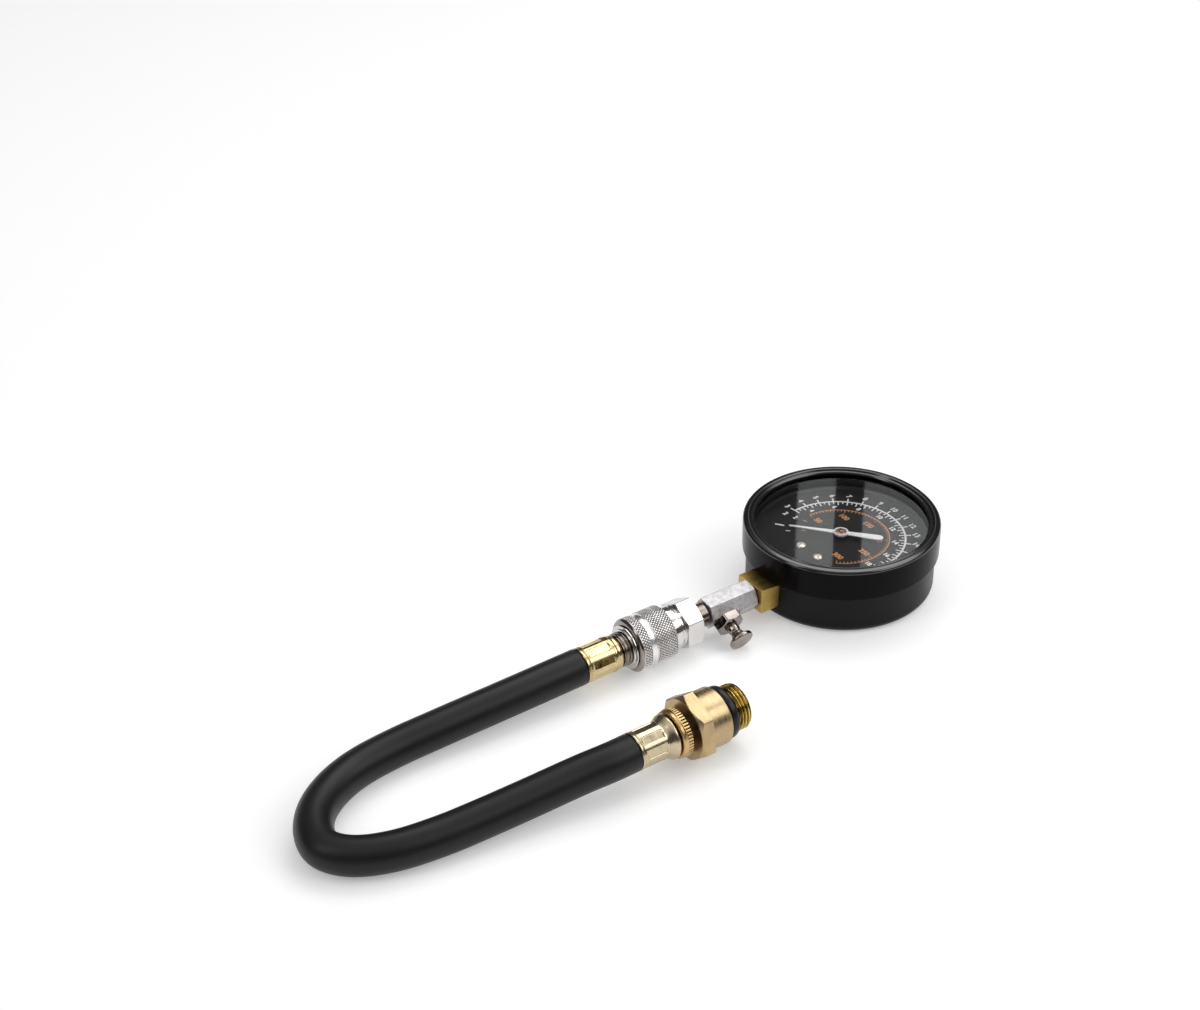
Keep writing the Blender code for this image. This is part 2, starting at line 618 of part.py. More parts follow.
def build_movement():
    """Make the wheels, plates, link and tube behind the dial."""
    base_top = BASE_PLATE_Z + PLATE_THICKNESS
    teeth_low = SECTOR_Z - 0.8
    teeth_high = SECTOR_Z + GEAR_WIDTH + 0.8
    loop = ((BASE_PLATE_Z + 0.1, 0), (BASE_PLATE_Z + 0.1, PIVOT_RADIUS),
            (base_top + FIT, PIVOT_RADIUS), (base_top + FIT, ARBOR_RADIUS),
            (BRIDGE_Z - FIT, ARBOR_RADIUS), (BRIDGE_Z - FIT, PIVOT_RADIUS),
            (POINTER_Z + 1.4, PIVOT_RADIUS), (POINTER_Z + 1.4, 0))
    arbor = lathe(UP, loop, 12)
    phase = -90.0 + 180.0 / PINION_TEETH
    outline = tooth_ring(PINION_PITCH, PINION_TEETH, 0, PINION_TEETH - 1, phase)
    leaves = prism(UP, outline, teeth_low, teeth_high)
    register(combine(arbor, [leaves], "UNION"), "pinion_arbor", "steel")

    build = bmesh.new()
    low = BRIDGE_Z - HAIRSPRING_DROP
    steps = 44
    inner = ARBOR_RADIUS + FIT + 0.15
    outer = HAIRSPRING_REACH - PILLAR_RADIUS - 0.45
    rings = []
    for step in range(steps + 1):
        part = step / steps
        radius = inner + (outer - inner) * part
        angle = math.radians(90.0 + 360.0 * HAIRSPRING_TURNS * (part - 1.0))
        ring = []
        for width, height in ((-0.12, 0), (0.12, 0), (0.12, HAIRSPRING_WIDTH),
                              (-0.12, HAIRSPRING_WIDTH)):
            ring.append(build.verts.new(((radius + width) * math.cos(angle),
                                         (radius + width) * math.sin(angle), low + height)))
        rings.append(ring)
    close_tube(build, rings, True)
    register(mesh_object(build), "hairspring", "spring_steel")

    ears = [(x, y, 2.1) for x, y in MOVEMENT_SCREWS]
    plate = [(0, 0, 4.0), (0, SECTOR_Y, 4.0)]
    plate += [(x, y, PILLAR_RADIUS + 0.5) for x, y in PILLAR_CENTRES]
    base = prism(UP, hull(plate + ears), BASE_PLATE_Z, base_top)
    pillars = [cylinder(upright(x, y), BASE_PLATE_Z + 0.5, PILLAR_TOP, PILLAR_RADIUS)
               for x, y in PILLAR_CENTRES]
    combine(base, pillars, "UNION")
    holes = [cylinder(UP, 0, base_top + 1, PIVOT_RADIUS + FIT),
             cylinder(upright(0, SECTOR_Y), 0, base_top + 1, PIVOT_RADIUS + FIT)]
    for x, y in MOVEMENT_SCREWS:
        holes.append(cylinder(upright(x, y), 0, base_top + 1, PLATE_SCREW_RADIUS + FIT))
    for x, y in PILLAR_CENTRES:
        holes.append(cylinder(upright(x, y), PILLAR_TOP - PILLAR_HOLE_DEPTH, PILLAR_TOP + 1,
                              SMALL_SCREW_RADIUS + FIT))
    register(combine(base, holes, "DIFFERENCE"), "movement_base", "brass")
    for index, (x, y) in enumerate(MOVEMENT_SCREWS):
        made = screw(upright(x, y), base_top + FIT, base_top + FIT + 1.1,
                     PLATE_SCREW_RADIUS + 0.8, PLATE_SCREW_RADIUS, BASE_PLATE_Z - 2.5)
        register(made, "movement_screw_%d" % (index + 1), "steel")

    bridge_top = BRIDGE_Z + PLATE_THICKNESS
    bridge = prism(UP, hull(plate), BRIDGE_Z, bridge_top)
    low = BRIDGE_Z - 1
    high = bridge_top + 1
    holes = [cylinder(UP, low, high, PIVOT_RADIUS + FIT),
             cylinder(upright(0, SECTOR_Y), low, high, PIVOT_RADIUS + FIT)]
    for x, y in PILLAR_CENTRES:
        holes.append(cylinder(upright(x, y), low, high, SMALL_SCREW_RADIUS + FIT))
    register(combine(bridge, holes, "DIFFERENCE"), "movement_bridge", "brass")
    for index, (x, y) in enumerate(PILLAR_CENTRES):
        made = screw(upright(x, y), bridge_top + FIT, bridge_top + FIT + 1.0,
                     SMALL_SCREW_RADIUS + 0.8, SMALL_SCREW_RADIUS,
                     PILLAR_TOP - PILLAR_HOLE_DEPTH + 0.4)
        register(made, "bridge_screw_%d" % (index + 1), "steel")

    build_sector(base_top)
    build_link()
    build_tube()


def close_tube(build, rings, capped):
    """Skin a row of vertex rings, with its ends capped or joined to each other."""
    pairs = list(zip(rings, rings[1:]))
    if not capped:
        pairs.append((rings[-1], rings[0]))
    for here, there in pairs:
        count = len(here)
        for step in range(count):
            after = (step + 1) % count
            build.faces.new((here[step], here[after], there[after], there[step]))
    if capped:
        build.faces.new(rings[0][::-1])
        build.faces.new(rings[-1])


def build_sector(base_top):
    """Make the toothed sector with its arbor, tail and tail pin."""
    pitch = 360.0 / SECTOR_TEETH
    before = int(math.ceil((SECTOR_SWEEP + 6.0) / pitch))
    teeth = tooth_ring(SECTOR_PITCH, SECTOR_TEETH, -before, 1, 90.0)
    inner = SECTOR_PITCH - 2.4
    first = 90.0 - (before + 0.4) * pitch
    last = 90.0 + 1.4 * pitch
    back = [point_on(inner, last - (last - first) * step / 8) for step in range(9)]
    rim = [(b, c + SECTOR_Y) for b, c in teeth + back]
    sector = prism(UP, rim, SECTOR_Z, SECTOR_Z + GEAR_WIDTH)
    middle = (first + last) / 2
    web_end = point_on(inner + 0.2, middle)
    web = [(0, SECTOR_Y, 2.2), (web_end[0], web_end[1] + SECTOR_Y, 1.5)]
    tail = point_on(TAIL_LENGTH, TAIL_ANGLE, (0, SECTOR_Y))
    arm = [(0, SECTOR_Y, 2.2), (tail[0], tail[1], 1.2)]
    tools = [prism(UP, hull(web, 8), SECTOR_Z, SECTOR_Z + GEAR_WIDTH),
             prism(UP, hull(arm, 8), SECTOR_Z, SECTOR_Z + GEAR_WIDTH)]
    loop = ((BASE_PLATE_Z + 0.1, 0), (BASE_PLATE_Z + 0.1, PIVOT_RADIUS),
            (base_top + FIT, PIVOT_RADIUS), (base_top + FIT, ARBOR_RADIUS),
            (BRIDGE_Z - FIT, ARBOR_RADIUS), (BRIDGE_Z - FIT, PIVOT_RADIUS),
            (BRIDGE_Z + PLATE_THICKNESS, PIVOT_RADIUS), (BRIDGE_Z + PLATE_THICKNESS, 0))
    tools.append(lathe(upright(0, SECTOR_Y), loop, 12))
    tools.append(cylinder(upright(*tail), SECTOR_Z + 0.4, LINK_Z + LINK_THICKNESS + 0.6,
                          PIVOT_RADIUS))
    register(combine(sector, tools, "UNION"), "sector_gear", "brass")


def tip_pin():
    """Return where the pin of the tube's tip stands."""
    return point_on(TUBE_RADIUS - TIP_PIN_INSET, TIP_PIN_ANGLE)


def build_link():
    """Make the link, whose slot lets the tail swing while the tube stays rigid."""
    tail = point_on(TAIL_LENGTH, TAIL_ANGLE, (0, SECTOR_Y))
    pin = tip_pin()
    length = math.dist(tail, pin)
    angle = math.degrees(math.atan2(pin[1] - tail[1], pin[0] - tail[0]))
    near = point_on(length - LINK_SLOT, angle, tail)
    far = point_on(length + 0.7, angle, tail)
    slot_radius = PIVOT_RADIUS + 0.5
    outline = hull([(tail[0], tail[1], 1.7), (far[0], far[1], slot_radius + 0.7)], 8)
    link = prism(UP, outline, LINK_Z, LINK_Z + LINK_THICKNESS)
    slot = prism(UP, hull([(*near, slot_radius), (*far, slot_radius)], 8), LINK_Z - 1, LINK_Z + 2)
    hole = cylinder(upright(*tail), LINK_Z - 1, LINK_Z + 2, PIVOT_RADIUS + FIT)
    register(combine(link, [slot, hole], "DIFFERENCE"), "link", "brass")


def oval(width, height, count=10):
    """Return an oval section of (across, up) points."""
    flat = (height - width) / 2
    points = []
    for step in range(count):
        angle = 2 * math.pi * (step + 0.5) / count
        across = width / 2 * math.cos(angle)
        up = width / 2 * math.sin(angle)
        points.append((across, up + math.copysign(flat, up)))
    return points


def build_tube():
    """Make the curved pressure tube and the block that closes its tip."""
    def ring_at(place, outward, width, height):
        across = Vector((outward[0], outward[1], 0))
        return [place + across * a + Vector((0, 0, u)) for a, u in oval(width, height)]

    start = Vector((*point_on(TUBE_RADIUS, TUBE_START), TUBE_Z))
    side = point_on(1.0, TUBE_START)
    along = Vector((-side[1], side[0], 0))
    stations = [(start + along * TUBE_LEAD, side)]
    count = 22
    for step in range(count + 1):
        angle = TUBE_START + (TUBE_END - TUBE_START) * step / count
        stations.append((Vector((*point_on(TUBE_RADIUS, angle), TUBE_Z)), point_on(1.0, angle)))
    build = bmesh.new()
    skins = []
    for width, height in ((TUBE_WIDTH, TUBE_HEIGHT),
                          (TUBE_WIDTH - 2 * TUBE_WALL, TUBE_HEIGHT - 2 * TUBE_WALL)):
        skins.append([[build.verts.new(spot) for spot in ring_at(place, outward, width, height)]
                      for place, outward in stations])
    for skin in skins:
        for here, there in zip(skin, skin[1:]):
            for step in range(len(here)):
                after = (step + 1) % len(here)
                build.faces.new((here[step], here[after], there[after], there[step]))
    for end in (0, -1):
        outer, inner = skins[0][end], skins[1][end]
        for step in range(len(outer)):
            after = (step + 1) % len(outer)
            build.faces.new((outer[step], outer[after], inner[after], inner[step]))
    register(mesh_object(build), "bourdon_tube", "brass")

    end = Vector((*point_on(TUBE_RADIUS, TUBE_END), TUBE_Z))
    outward = point_on(1.0, TUBE_END)
    onward = (outward[1], -outward[0], 0)
    tip = axis_frame(end, onward, (*outward, 0))
    half_width = TUBE_WIDTH / 2 + 1.1
    half_height = TUBE_HEIGHT / 2 + TIP_MARGIN
    block_shape = ((-half_width, -half_height), (half_width, -half_height),
                   (half_width, half_height), (-half_width, half_height))
    cap = prism(tip, block_shape, -1.6, 3.2)
    pocket = TUBE_WIDTH / 2 + FIT
    tall = TUBE_HEIGHT / 2 + FIT
    socket = prism(tip, ((-pocket, -tall), (pocket, -tall), (pocket, tall), (-pocket, tall)),
                   -3, FIT)
    combine(cap, [socket], "DIFFERENCE")
    pin = tip_pin()
    foot = (end.x + onward[0] * 1.8, end.y + onward[1] * 1.8)
    band = hull([(pin[0], pin[1], 1.4), (foot[0], foot[1] + 1.2, 1.1)], 8)
    arm = prism(UP, band, TIP_TOP - 2.6, TIP_TOP - 0.3)
    post = cylinder(upright(*pin), TIP_TOP - 2, LINK_Z + LINK_THICKNESS + 0.6, PIVOT_RADIUS)
    register(combine(cap, [arm, post], "UNION"), "tube_tip", "brass")


def build_stem():
    """Make the stem block with the socket inside the case, and its screws."""
    half = STEM_WIDTH / 2
    low = STEM_Z - STEM_HEIGHT / 2
    stem = block(STEM_END_X, SOCKET_OUTER_X + 2, -half, half, low, STEM_TOP)
    shelf = CASE_WALL + FIT
    inner = block(SOCKET_OUTER_X, SOCKET_INNER_X, -SOCKET_HALF_WIDTH, SOCKET_HALF_WIDTH,
                  shelf, STEM_TOP - 0.6)
    tongue = block(SOCKET_INNER_X - 1, TONGUE_END_X, -TONGUE_HALF_WIDTH, TONGUE_HALF_WIDTH,
                   shelf, BASE_PLATE_Z - FIT)
    posts = [cylinder(upright(DIAL_SCREW_X, y), STEM_TOP - 2, POST_TOP, DIAL_POST_RADIUS)
             for y in DIAL_SCREW_YS]
    combine(stem, [inner, tongue] + posts, "UNION")
    start = Vector((*point_on(TUBE_RADIUS, TUBE_START), TUBE_Z))
    side = point_on(1.0, TUBE_START)
    along = Vector((-side[1], side[0], 0))
    slot = axis_frame(start, along, (*side, 0))
    pocket = TUBE_WIDTH / 2 + FIT
    tall = TUBE_HEIGHT / 2 + FIT
    tools = [prism(slot, ((-pocket, -tall), (pocket, -tall), (pocket, tall), (-pocket, tall)),
                   -4, TUBE_LEAD + FIT)]
    meeting = start.y / -along.y
    tools.append(cylinder(slot, TUBE_LEAD - 1, meeting - 0.6, TUBE_PORT_RADIUS))
    tools.append(cylinder(STEM, STEM_END_X - 1, start.x + along.x * meeting + 2.8, PORT_RADIUS))
    tools.append(cylinder(STEM, STEM_END_X - 1, STEM_END_X + SPIGOT_LENGTH + FIT,
                          SPIGOT_RADIUS + FIT))
    for y in DIAL_SCREW_YS:
        tools.append(cylinder(upright(DIAL_SCREW_X, y), POST_TOP - 3.3, POST_TOP + 1,
                              DIAL_SCREW_RADIUS + FIT))
    for x, y in MOVEMENT_SCREWS:
        tools.append(cylinder(upright(x, y), BASE_PLATE_Z - 2.8, BASE_PLATE_Z + 1,
                              PLATE_SCREW_RADIUS + FIT))
    tip = shelf + 3.1
    for y in CASE_SCREW_YS:
        tools.append(cylinder(upright(CASE_SCREW_X, y), 0, tip + 0.4, CASE_SCREW_RADIUS + FIT))
    register(combine(stem, tools, "DIFFERENCE"), "stem_block", "brass")
    for index, y in enumerate(CASE_SCREW_YS):
        loop = ((0.1, 0), (0.1, CASE_SCREW_HEAD_RADIUS), (CASE_WALL, CASE_SCREW_RADIUS),
                (tip, CASE_SCREW_RADIUS), (tip, 0))
        made = lathe(upright(CASE_SCREW_X, y), loop, SMALL_SEGMENTS)
        register(made, "case_screw_%d" % (index + 1), "steel")


def build_valve():
    """Make the hexagonal valve body with its sprung release button."""
    loop = [(VALVE_FAR_X, 0)] + chamfered(VALVE_FAR_X, VALVE_END_X, VALVE_FLATS, 0.9, 0.9)
    loop += [(VALVE_END_X, SPIGOT_RADIUS), (VALVE_END_X + SPIGOT_LENGTH - 0.5, SPIGOT_RADIUS),
             (VALVE_END_X + SPIGOT_LENGTH, SPIGOT_RADIUS - 0.5), (VALVE_END_X + SPIGOT_LENGTH, 0)]
    body = lathe(STEM, loop, 24, VALVE_TURN,
                 hexagon(VALVE_TURN, VALVE_FLATS, VALVE_FAR_X, VALVE_END_X))
    tools = [cylinder(STEM, VALVE_FAR_X - 1, VALVE_END_X + SPIGOT_LENGTH + 1,
                      VALVE_BORE_RADIUS),
             cylinder(STEM, VALVE_FAR_X - 1, VALVE_FAR_X + SPIGOT_LENGTH, SPIGOT_RADIUS + FIT),
             cylinder(BUTTON, VALVE_FLATS / 2, VALVE_FLATS, BUTTON_SPOT_FACE_RADIUS),
             cylinder(BUTTON, 2.3, VALVE_FLATS, BUTTON_NUT_TUBE + FIT),
             cylinder(BUTTON, 0.5, 3, BUTTON_STEM_RADIUS + FIT)]
    register(combine(body, tools, "DIFFERENCE"), "valve_body", "steel")

    seat = VALVE_FLATS / 2 + FIT
    top = seat + BUTTON_NUT_HEIGHT
    loop = [(2.6, 0), (2.6, BUTTON_NUT_TUBE), (seat, BUTTON_NUT_TUBE)]
    loop += chamfered(seat, top, BUTTON_NUT_FLATS, 0.0, 0.7)
    loop += [(top, 0)]
    nut = lathe(BUTTON, loop, 24, 0.0, hexagon(0.0, BUTTON_NUT_FLATS, seat, top))
    neck_low = BUTTON_NUT_BORE + BUTTON_TRAVEL + FIT
    tools = [cylinder(BUTTON, BUTTON_NUT_BORE, top + 1, BUTTON_NECK_RADIUS + FIT),
             cylinder(BUTTON, 3.2, BUTTON_NUT_BORE + 1, 2.1),
             cylinder(BUTTON, 2, 4, BUTTON_STEM_RADIUS + FIT)]
    register(combine(nut, tools, "DIFFERENCE"), "button_nut", "nickel")

    head = BUTTON_HEAD_TOP
    under = head - BUTTON_HEAD_HEIGHT
    r = BUTTON_HEAD_RADIUS
    loop = ((1.95, 0), (1.95, BUTTON_STEM_RADIUS), (neck_low, BUTTON_STEM_RADIUS),
            (neck_low, BUTTON_NECK_RADIUS), (under - 0.9, BUTTON_NECK_RADIUS),
            (under - 0.2, BUTTON_NECK_RADIUS + 0.7), (under + 0.1, r - 0.8), (under + 0.7, r - 0.1),
            (under + 1.2, r), (head - 0.3, r - 0.25), (head, r - 0.9), (head, 0))
    register(lathe(BUTTON, loop, 24), "release_button", "dark_chrome")
    coil("button_spring", BUTTON, 3.2 + FIT, neck_low - BUTTON_TRAVEL - FIT, 1.6, 0.2, 4)


def coil(name, frame, first, last, radius, wire, turns):
    """Make a helical spring between two stations."""
    build = bmesh.new()
    steps = turns * 12
    rings = []
    for step in range(steps + 1):
        part = step / steps
        along = first + wire + (last - first - 2 * wire) * part
        angle = 2 * math.pi * turns * part
        ring = []
        for corner in range(5):
            spin = 2 * math.pi * corner / 5
            reach = radius + wire * math.cos(spin)
            spot = Vector((along + wire * math.sin(spin), reach * math.cos(angle),
                           reach * math.sin(angle)))
            ring.append(build.verts.new(frame @ spot))
        rings.append(ring)
    close_tube(build, rings, True)
    register(mesh_object(build), name, "spring_steel")


def knurl(first, last, depth, columns, rows):
    """Return a shape function whose raised points make a diamond knurl."""
    pitch = (last - first) / rows

    def shape(along, angle, radius):
        if not first - 1e-6 <= along <= last + 1e-6 or radius < SLEEVE_BORE + 0.4:
            return radius
        row = round((along - first) / pitch)
        column = round(angle / (2 * math.pi) * columns)
        edge = row in (0, rows)
        return radius - depth if edge or (row + column) % 2 else radius
    return shape


def build_coupler():
    """Make the coupler body, its sliding sleeve, the lock balls and the springs."""
    tube_end = SLEEVE_END_X - 1.6
    groove = SLEEVE_END_X - FIT
    spigot_end = COUPLER_TOP_X + SPIGOT_LENGTH
    bore_end = PLUG_NOSE_X + 1.2
    passage = PLUG_RADIUS - 2.9
    loop = [(spigot_end, SPIGOT_RADIUS), (COUPLER_TOP_X, SPIGOT_RADIUS),
            (COUPLER_TOP_X, COUPLER_NECK_RADIUS - 0.5), (COUPLER_TOP_X - 0.5, COUPLER_NECK_RADIUS),
            (COUPLER_HEX_X + 0.8, COUPLER_NECK_RADIUS), (COUPLER_HEX_X, COUPLER_NECK_RADIUS + 0.8)]
    loop += chamfered(COLLAR_X, COUPLER_HEX_X, COUPLER_FLATS, 0.7, 1.4)[::-1]
    loop += [(COLLAR_X, COLLAR_RADIUS), (SLEEVE_TOP_X + 0.3, COLLAR_RADIUS),
             (SLEEVE_TOP_X, SOCKET_TUBE_RADIUS), (groove, SOCKET_TUBE_RADIUS),
             (groove, SOCKET_TUBE_RADIUS - 0.6), (groove - 0.9, SOCKET_TUBE_RADIUS - 0.6),
             (groove - 0.9, SOCKET_TUBE_RADIUS - 0.2), (tube_end, SOCKET_TUBE_RADIUS - 0.4),
             (tube_end, SOCKET_BORE), (bore_end, SOCKET_BORE), (bore_end, passage),
             (COLLAR_X, passage), (COUPLER_HEX_X, PORT_RADIUS), (spigot_end, PORT_RADIUS)]
    body = lathe(STEM, loop, 30, COUPLER_HEX_TURN,
                 hexagon(COUPLER_HEX_TURN, COUPLER_FLATS, COLLAR_X, COUPLER_HEX_X))
    tools = []
    for index in range(BALL_COUNT):
        angle = 2 * math.pi * (index + 0.5) / BALL_COUNT
        way = (0, math.cos(angle), math.sin(angle))
        spoke = axis_frame((BALL_X, 0, STEM_Z), way, (1, 0, 0))
        tools.append(cylinder(spoke, SOCKET_BORE - 2, SOCKET_TUBE_RADIUS + 2, BALL_RADIUS + FIT, 12))
        loop = [(BALL_SEAT_RADIUS + BALL_RADIUS * math.cos(turn), BALL_RADIUS * math.sin(turn))
                for turn in (math.pi * step / 6 for step in range(1, 6))]
        loop = [(BALL_SEAT_RADIUS + BALL_RADIUS, 0)] + loop + [(BALL_SEAT_RADIUS - BALL_RADIUS, 0)]
        register(lathe(spoke, loop, 8), "lock_ball_%d" % (index + 1), "steel")
    register(combine(body, tools, "DIFFERENCE"), "coupler_body", "nickel")

    r = SLEEVE_RADIUS
    top = SLEEVE_TOP_X
    end = SLEEVE_END_X
    wide_end = top - WIDE_BAND
    narrow = end + NARROW_BAND
    wide_rows = 10
    narrow_rows = 5
    outer = [(top, r - 1.0)]
    outer += [(top - 0.6 - (WIDE_BAND - 0.6) * row / wide_rows, r) for row in range(wide_rows + 1)]
    outer += [(wide_end - 0.3, r - 0.9), (narrow + 0.3, r - 0.9)]
    outer += [(narrow - (NARROW_BAND - 1.2) * row / narrow_rows, r) for row in range(narrow_rows + 1)]
    outer += [(end + 0.5, r - 1.0), (end, r - 2.0)]
    lock = SOCKET_TUBE_RADIUS + FIT
    inner = [(end, lock), (end + 2.0, lock), (end + 2.6, SLEEVE_BORE - 0.2),
             (BALL_X - 1.5, SLEEVE_BORE - 0.2), (BALL_X - 1.4, lock), (BALL_X + 1.5, lock),
             (BALL_X + 1.5, SLEEVE_BORE), (top, SLEEVE_BORE)]
    first = knurl(wide_end, top - 0.6, KNURL_DEPTH, KNURL_COLUMNS, wide_rows)
    second = knurl(end + 1.2, narrow, KNURL_DEPTH, KNURL_COLUMNS, narrow_rows)

    def shape(along, angle, radius):
        if radius < r - 0.01:
            return radius
        return min(first(along, angle, radius), second(along, angle, radius))

    register(lathe(STEM, outer + inner, KNURL_COLUMNS, 0.0, shape), "coupler_sleeve", "nickel")
    coil("sleeve_spring", STEM, BALL_X + 1.5 + SLEEVE_TRAVEL + FIT, top - FIT,
         (SOCKET_TUBE_RADIUS + SLEEVE_BORE) / 2, SPRING_WIRE, 3)
    ring = groove - 0.15
    loop = ((ring, SOCKET_TUBE_RADIUS - 0.3), (ring, SOCKET_TUBE_RADIUS + 0.9),
            (ring - 0.6, SOCKET_TUBE_RADIUS + 0.9), (ring - 0.6, SOCKET_TUBE_RADIUS - 0.3))
    register(lathe(STEM, loop, BODY_SEGMENTS), "retaining_ring", "nickel")
    seal_x = PLUG_NOSE_X + 0.6
    middle = PLUG_RADIUS - 1.7
    loop = [(seal_x + 0.3 * math.cos(turn), middle + 0.9 * math.sin(turn))
            for turn in (2 * math.pi * step / 8 for step in range(8))]
    register(lathe(STEM, loop, 24), "plug_seal", "black_rubber")


def flattened(first, last, radius, flats, sides):
    """Return a shape function that presses flats into a round body between two stations."""
    def shape(along, angle, given):
        if first - 1e-6 <= along <= last + 1e-6 and given > radius - 0.01:
            return min(given, polygon_radius(angle, 0.0, flats * 2, sides))
        return given
    return shape


def build_near_end():
    """Make the plug that carries the hose, and the ferrule crimped over it."""
    nose = PLUG_NOSE_X
    shoulder = SLEEVE_END_X - 1.6 - FIT
    ferrule_top = HOSE_START_X + FIT + FERRULE_LENGTH
    groove = BALL_SEAT_RADIUS - BALL_RADIUS - FIT
    bore = HOSE_BORE_RADIUS
    loop = [(nose, bore), (nose, PLUG_RADIUS - 1.4), (nose - 1.6, PLUG_RADIUS - 1.0),
            (nose - 2.4, PLUG_RADIUS - 0.3),
            (nose - 2.7, PLUG_RADIUS), (BALL_X + 1.5, PLUG_RADIUS), (BALL_X + 0.8, groove),
            (BALL_X - 0.8, groove), (BALL_X - 1.5, PLUG_RADIUS), (shoulder, PLUG_RADIUS),
            (shoulder, FERRULE_RADIUS - 0.7), (shoulder - 0.9, FERRULE_RADIUS - 0.4),
            (shoulder - 1.2, FERRULE_RADIUS - 1.1), (shoulder - 1.7, FERRULE_RADIUS - 1.1),
            (shoulder - 2.0, FERRULE_RADIUS - 0.5), (ferrule_top + 0.9, FERRULE_RADIUS - 0.5),
            (ferrule_top + FIT, FERRULE_RADIUS - 0.9), (ferrule_top + FIT, NIPPLE_RADIUS)]
    for tooth in range(3):
        start = ferrule_top - 3.0 - tooth * 3.4
        loop += [(start, NIPPLE_RADIUS), (start - 0.2, NIPPLE_RADIUS - 0.6), (start - 3.0, NIPPLE_RADIUS)]
    tail = HOSE_START_X + FIT + 1.0
    loop += [(tail, NIPPLE_RADIUS - 0.3), (tail, bore)]
    register(lathe(STEM, loop, 20), "hose_plug", "steel")

    lip = HOSE_START_X + FIT
    r = FERRULE_RADIUS
    bore = NIPPLE_RADIUS + FIT
    loop = [(lip, bore), (lip, r - 0.4), (lip + 0.4, r), (lip + 1.6, r), (lip + 2.0, r - 0.25),
            (lip + 2.4, r - 0.01), (ferrule_top - 4.4, r - 0.01), (ferrule_top - 4.0, r - 0.3),
            (ferrule_top - 3.6, r), (ferrule_top - 0.8, r), (ferrule_top, r - 0.8),
            (ferrule_top, bore)]
    shape = flattened(lip + 2.4, ferrule_top - 4.4, r, r - 0.42, 8)
    register(lathe(STEM, loop, BODY_SEGMENTS, 0.0, shape), "near_ferrule", "zinc_yellow")


def spread(points, count):
    """Return evenly spaced points on a smooth curve through some points."""
    dense = []
    ends = [points[0] * 2 - points[1]] + points + [points[-1] * 2 - points[-2]]
    for index in range(1, len(ends) - 2):
        p0, p1, p2, p3 = ends[index - 1:index + 3]
        for step in range(20):
            t = step / 20
            dense.append(0.5 * (2 * p1 + (p2 - p0) * t + (2 * p0 - 5 * p1 + 4 * p2 - p3) * t * t
                                + (3 * p1 - p0 - 3 * p2 + p3) * t * t * t))
    dense.append(points[-1])
    lengths = [0.0]
    for here, there in zip(dense, dense[1:]):
        lengths.append(lengths[-1] + (there - here).length)
    picked = []
    index = 0
    for step in range(count):
        wanted = lengths[-1] * step / (count - 1)
        while index < len(dense) - 2 and lengths[index + 1] < wanted:
            index += 1
        share = (wanted - lengths[index]) / (lengths[index + 1] - lengths[index])
        picked.append(dense[index].lerp(dense[index + 1], share))
    return picked


def build_hose():
    """Make the hose as a round tube along its route."""
    first = Vector((HOSE_START_X, 0, STEM_Z))
    last = Vector((FAR_LIP_X - FIT, FAR_Y, FAR_Z))
    lead = Vector((HOSE_LEAD, 0, 0.1))
    points = [first, first - lead]
    points += [Vector(place) for place in HOSE_ROUTE]
    points += [last - lead, last]
    curve = bpy.data.curves.new("hose", "CURVE")
    curve.dimensions = "3D"
    curve.bevel_depth = HOSE_RADIUS * MM
    curve.bevel_resolution = 3
    curve.use_fill_caps = True
    spline = curve.splines.new("POLY")
    route = spread(points, HOSE_POINT_COUNT)
    spline.points.add(len(route) - 1)
    for spot, place in zip(spline.points, route):
        spot.co = (*(place * MM), 1.0)
    obj = bpy.data.objects.new("hose", curve)
    bpy.context.scene.collection.objects.link(obj)
    register(obj, "hose", "black_rubber")


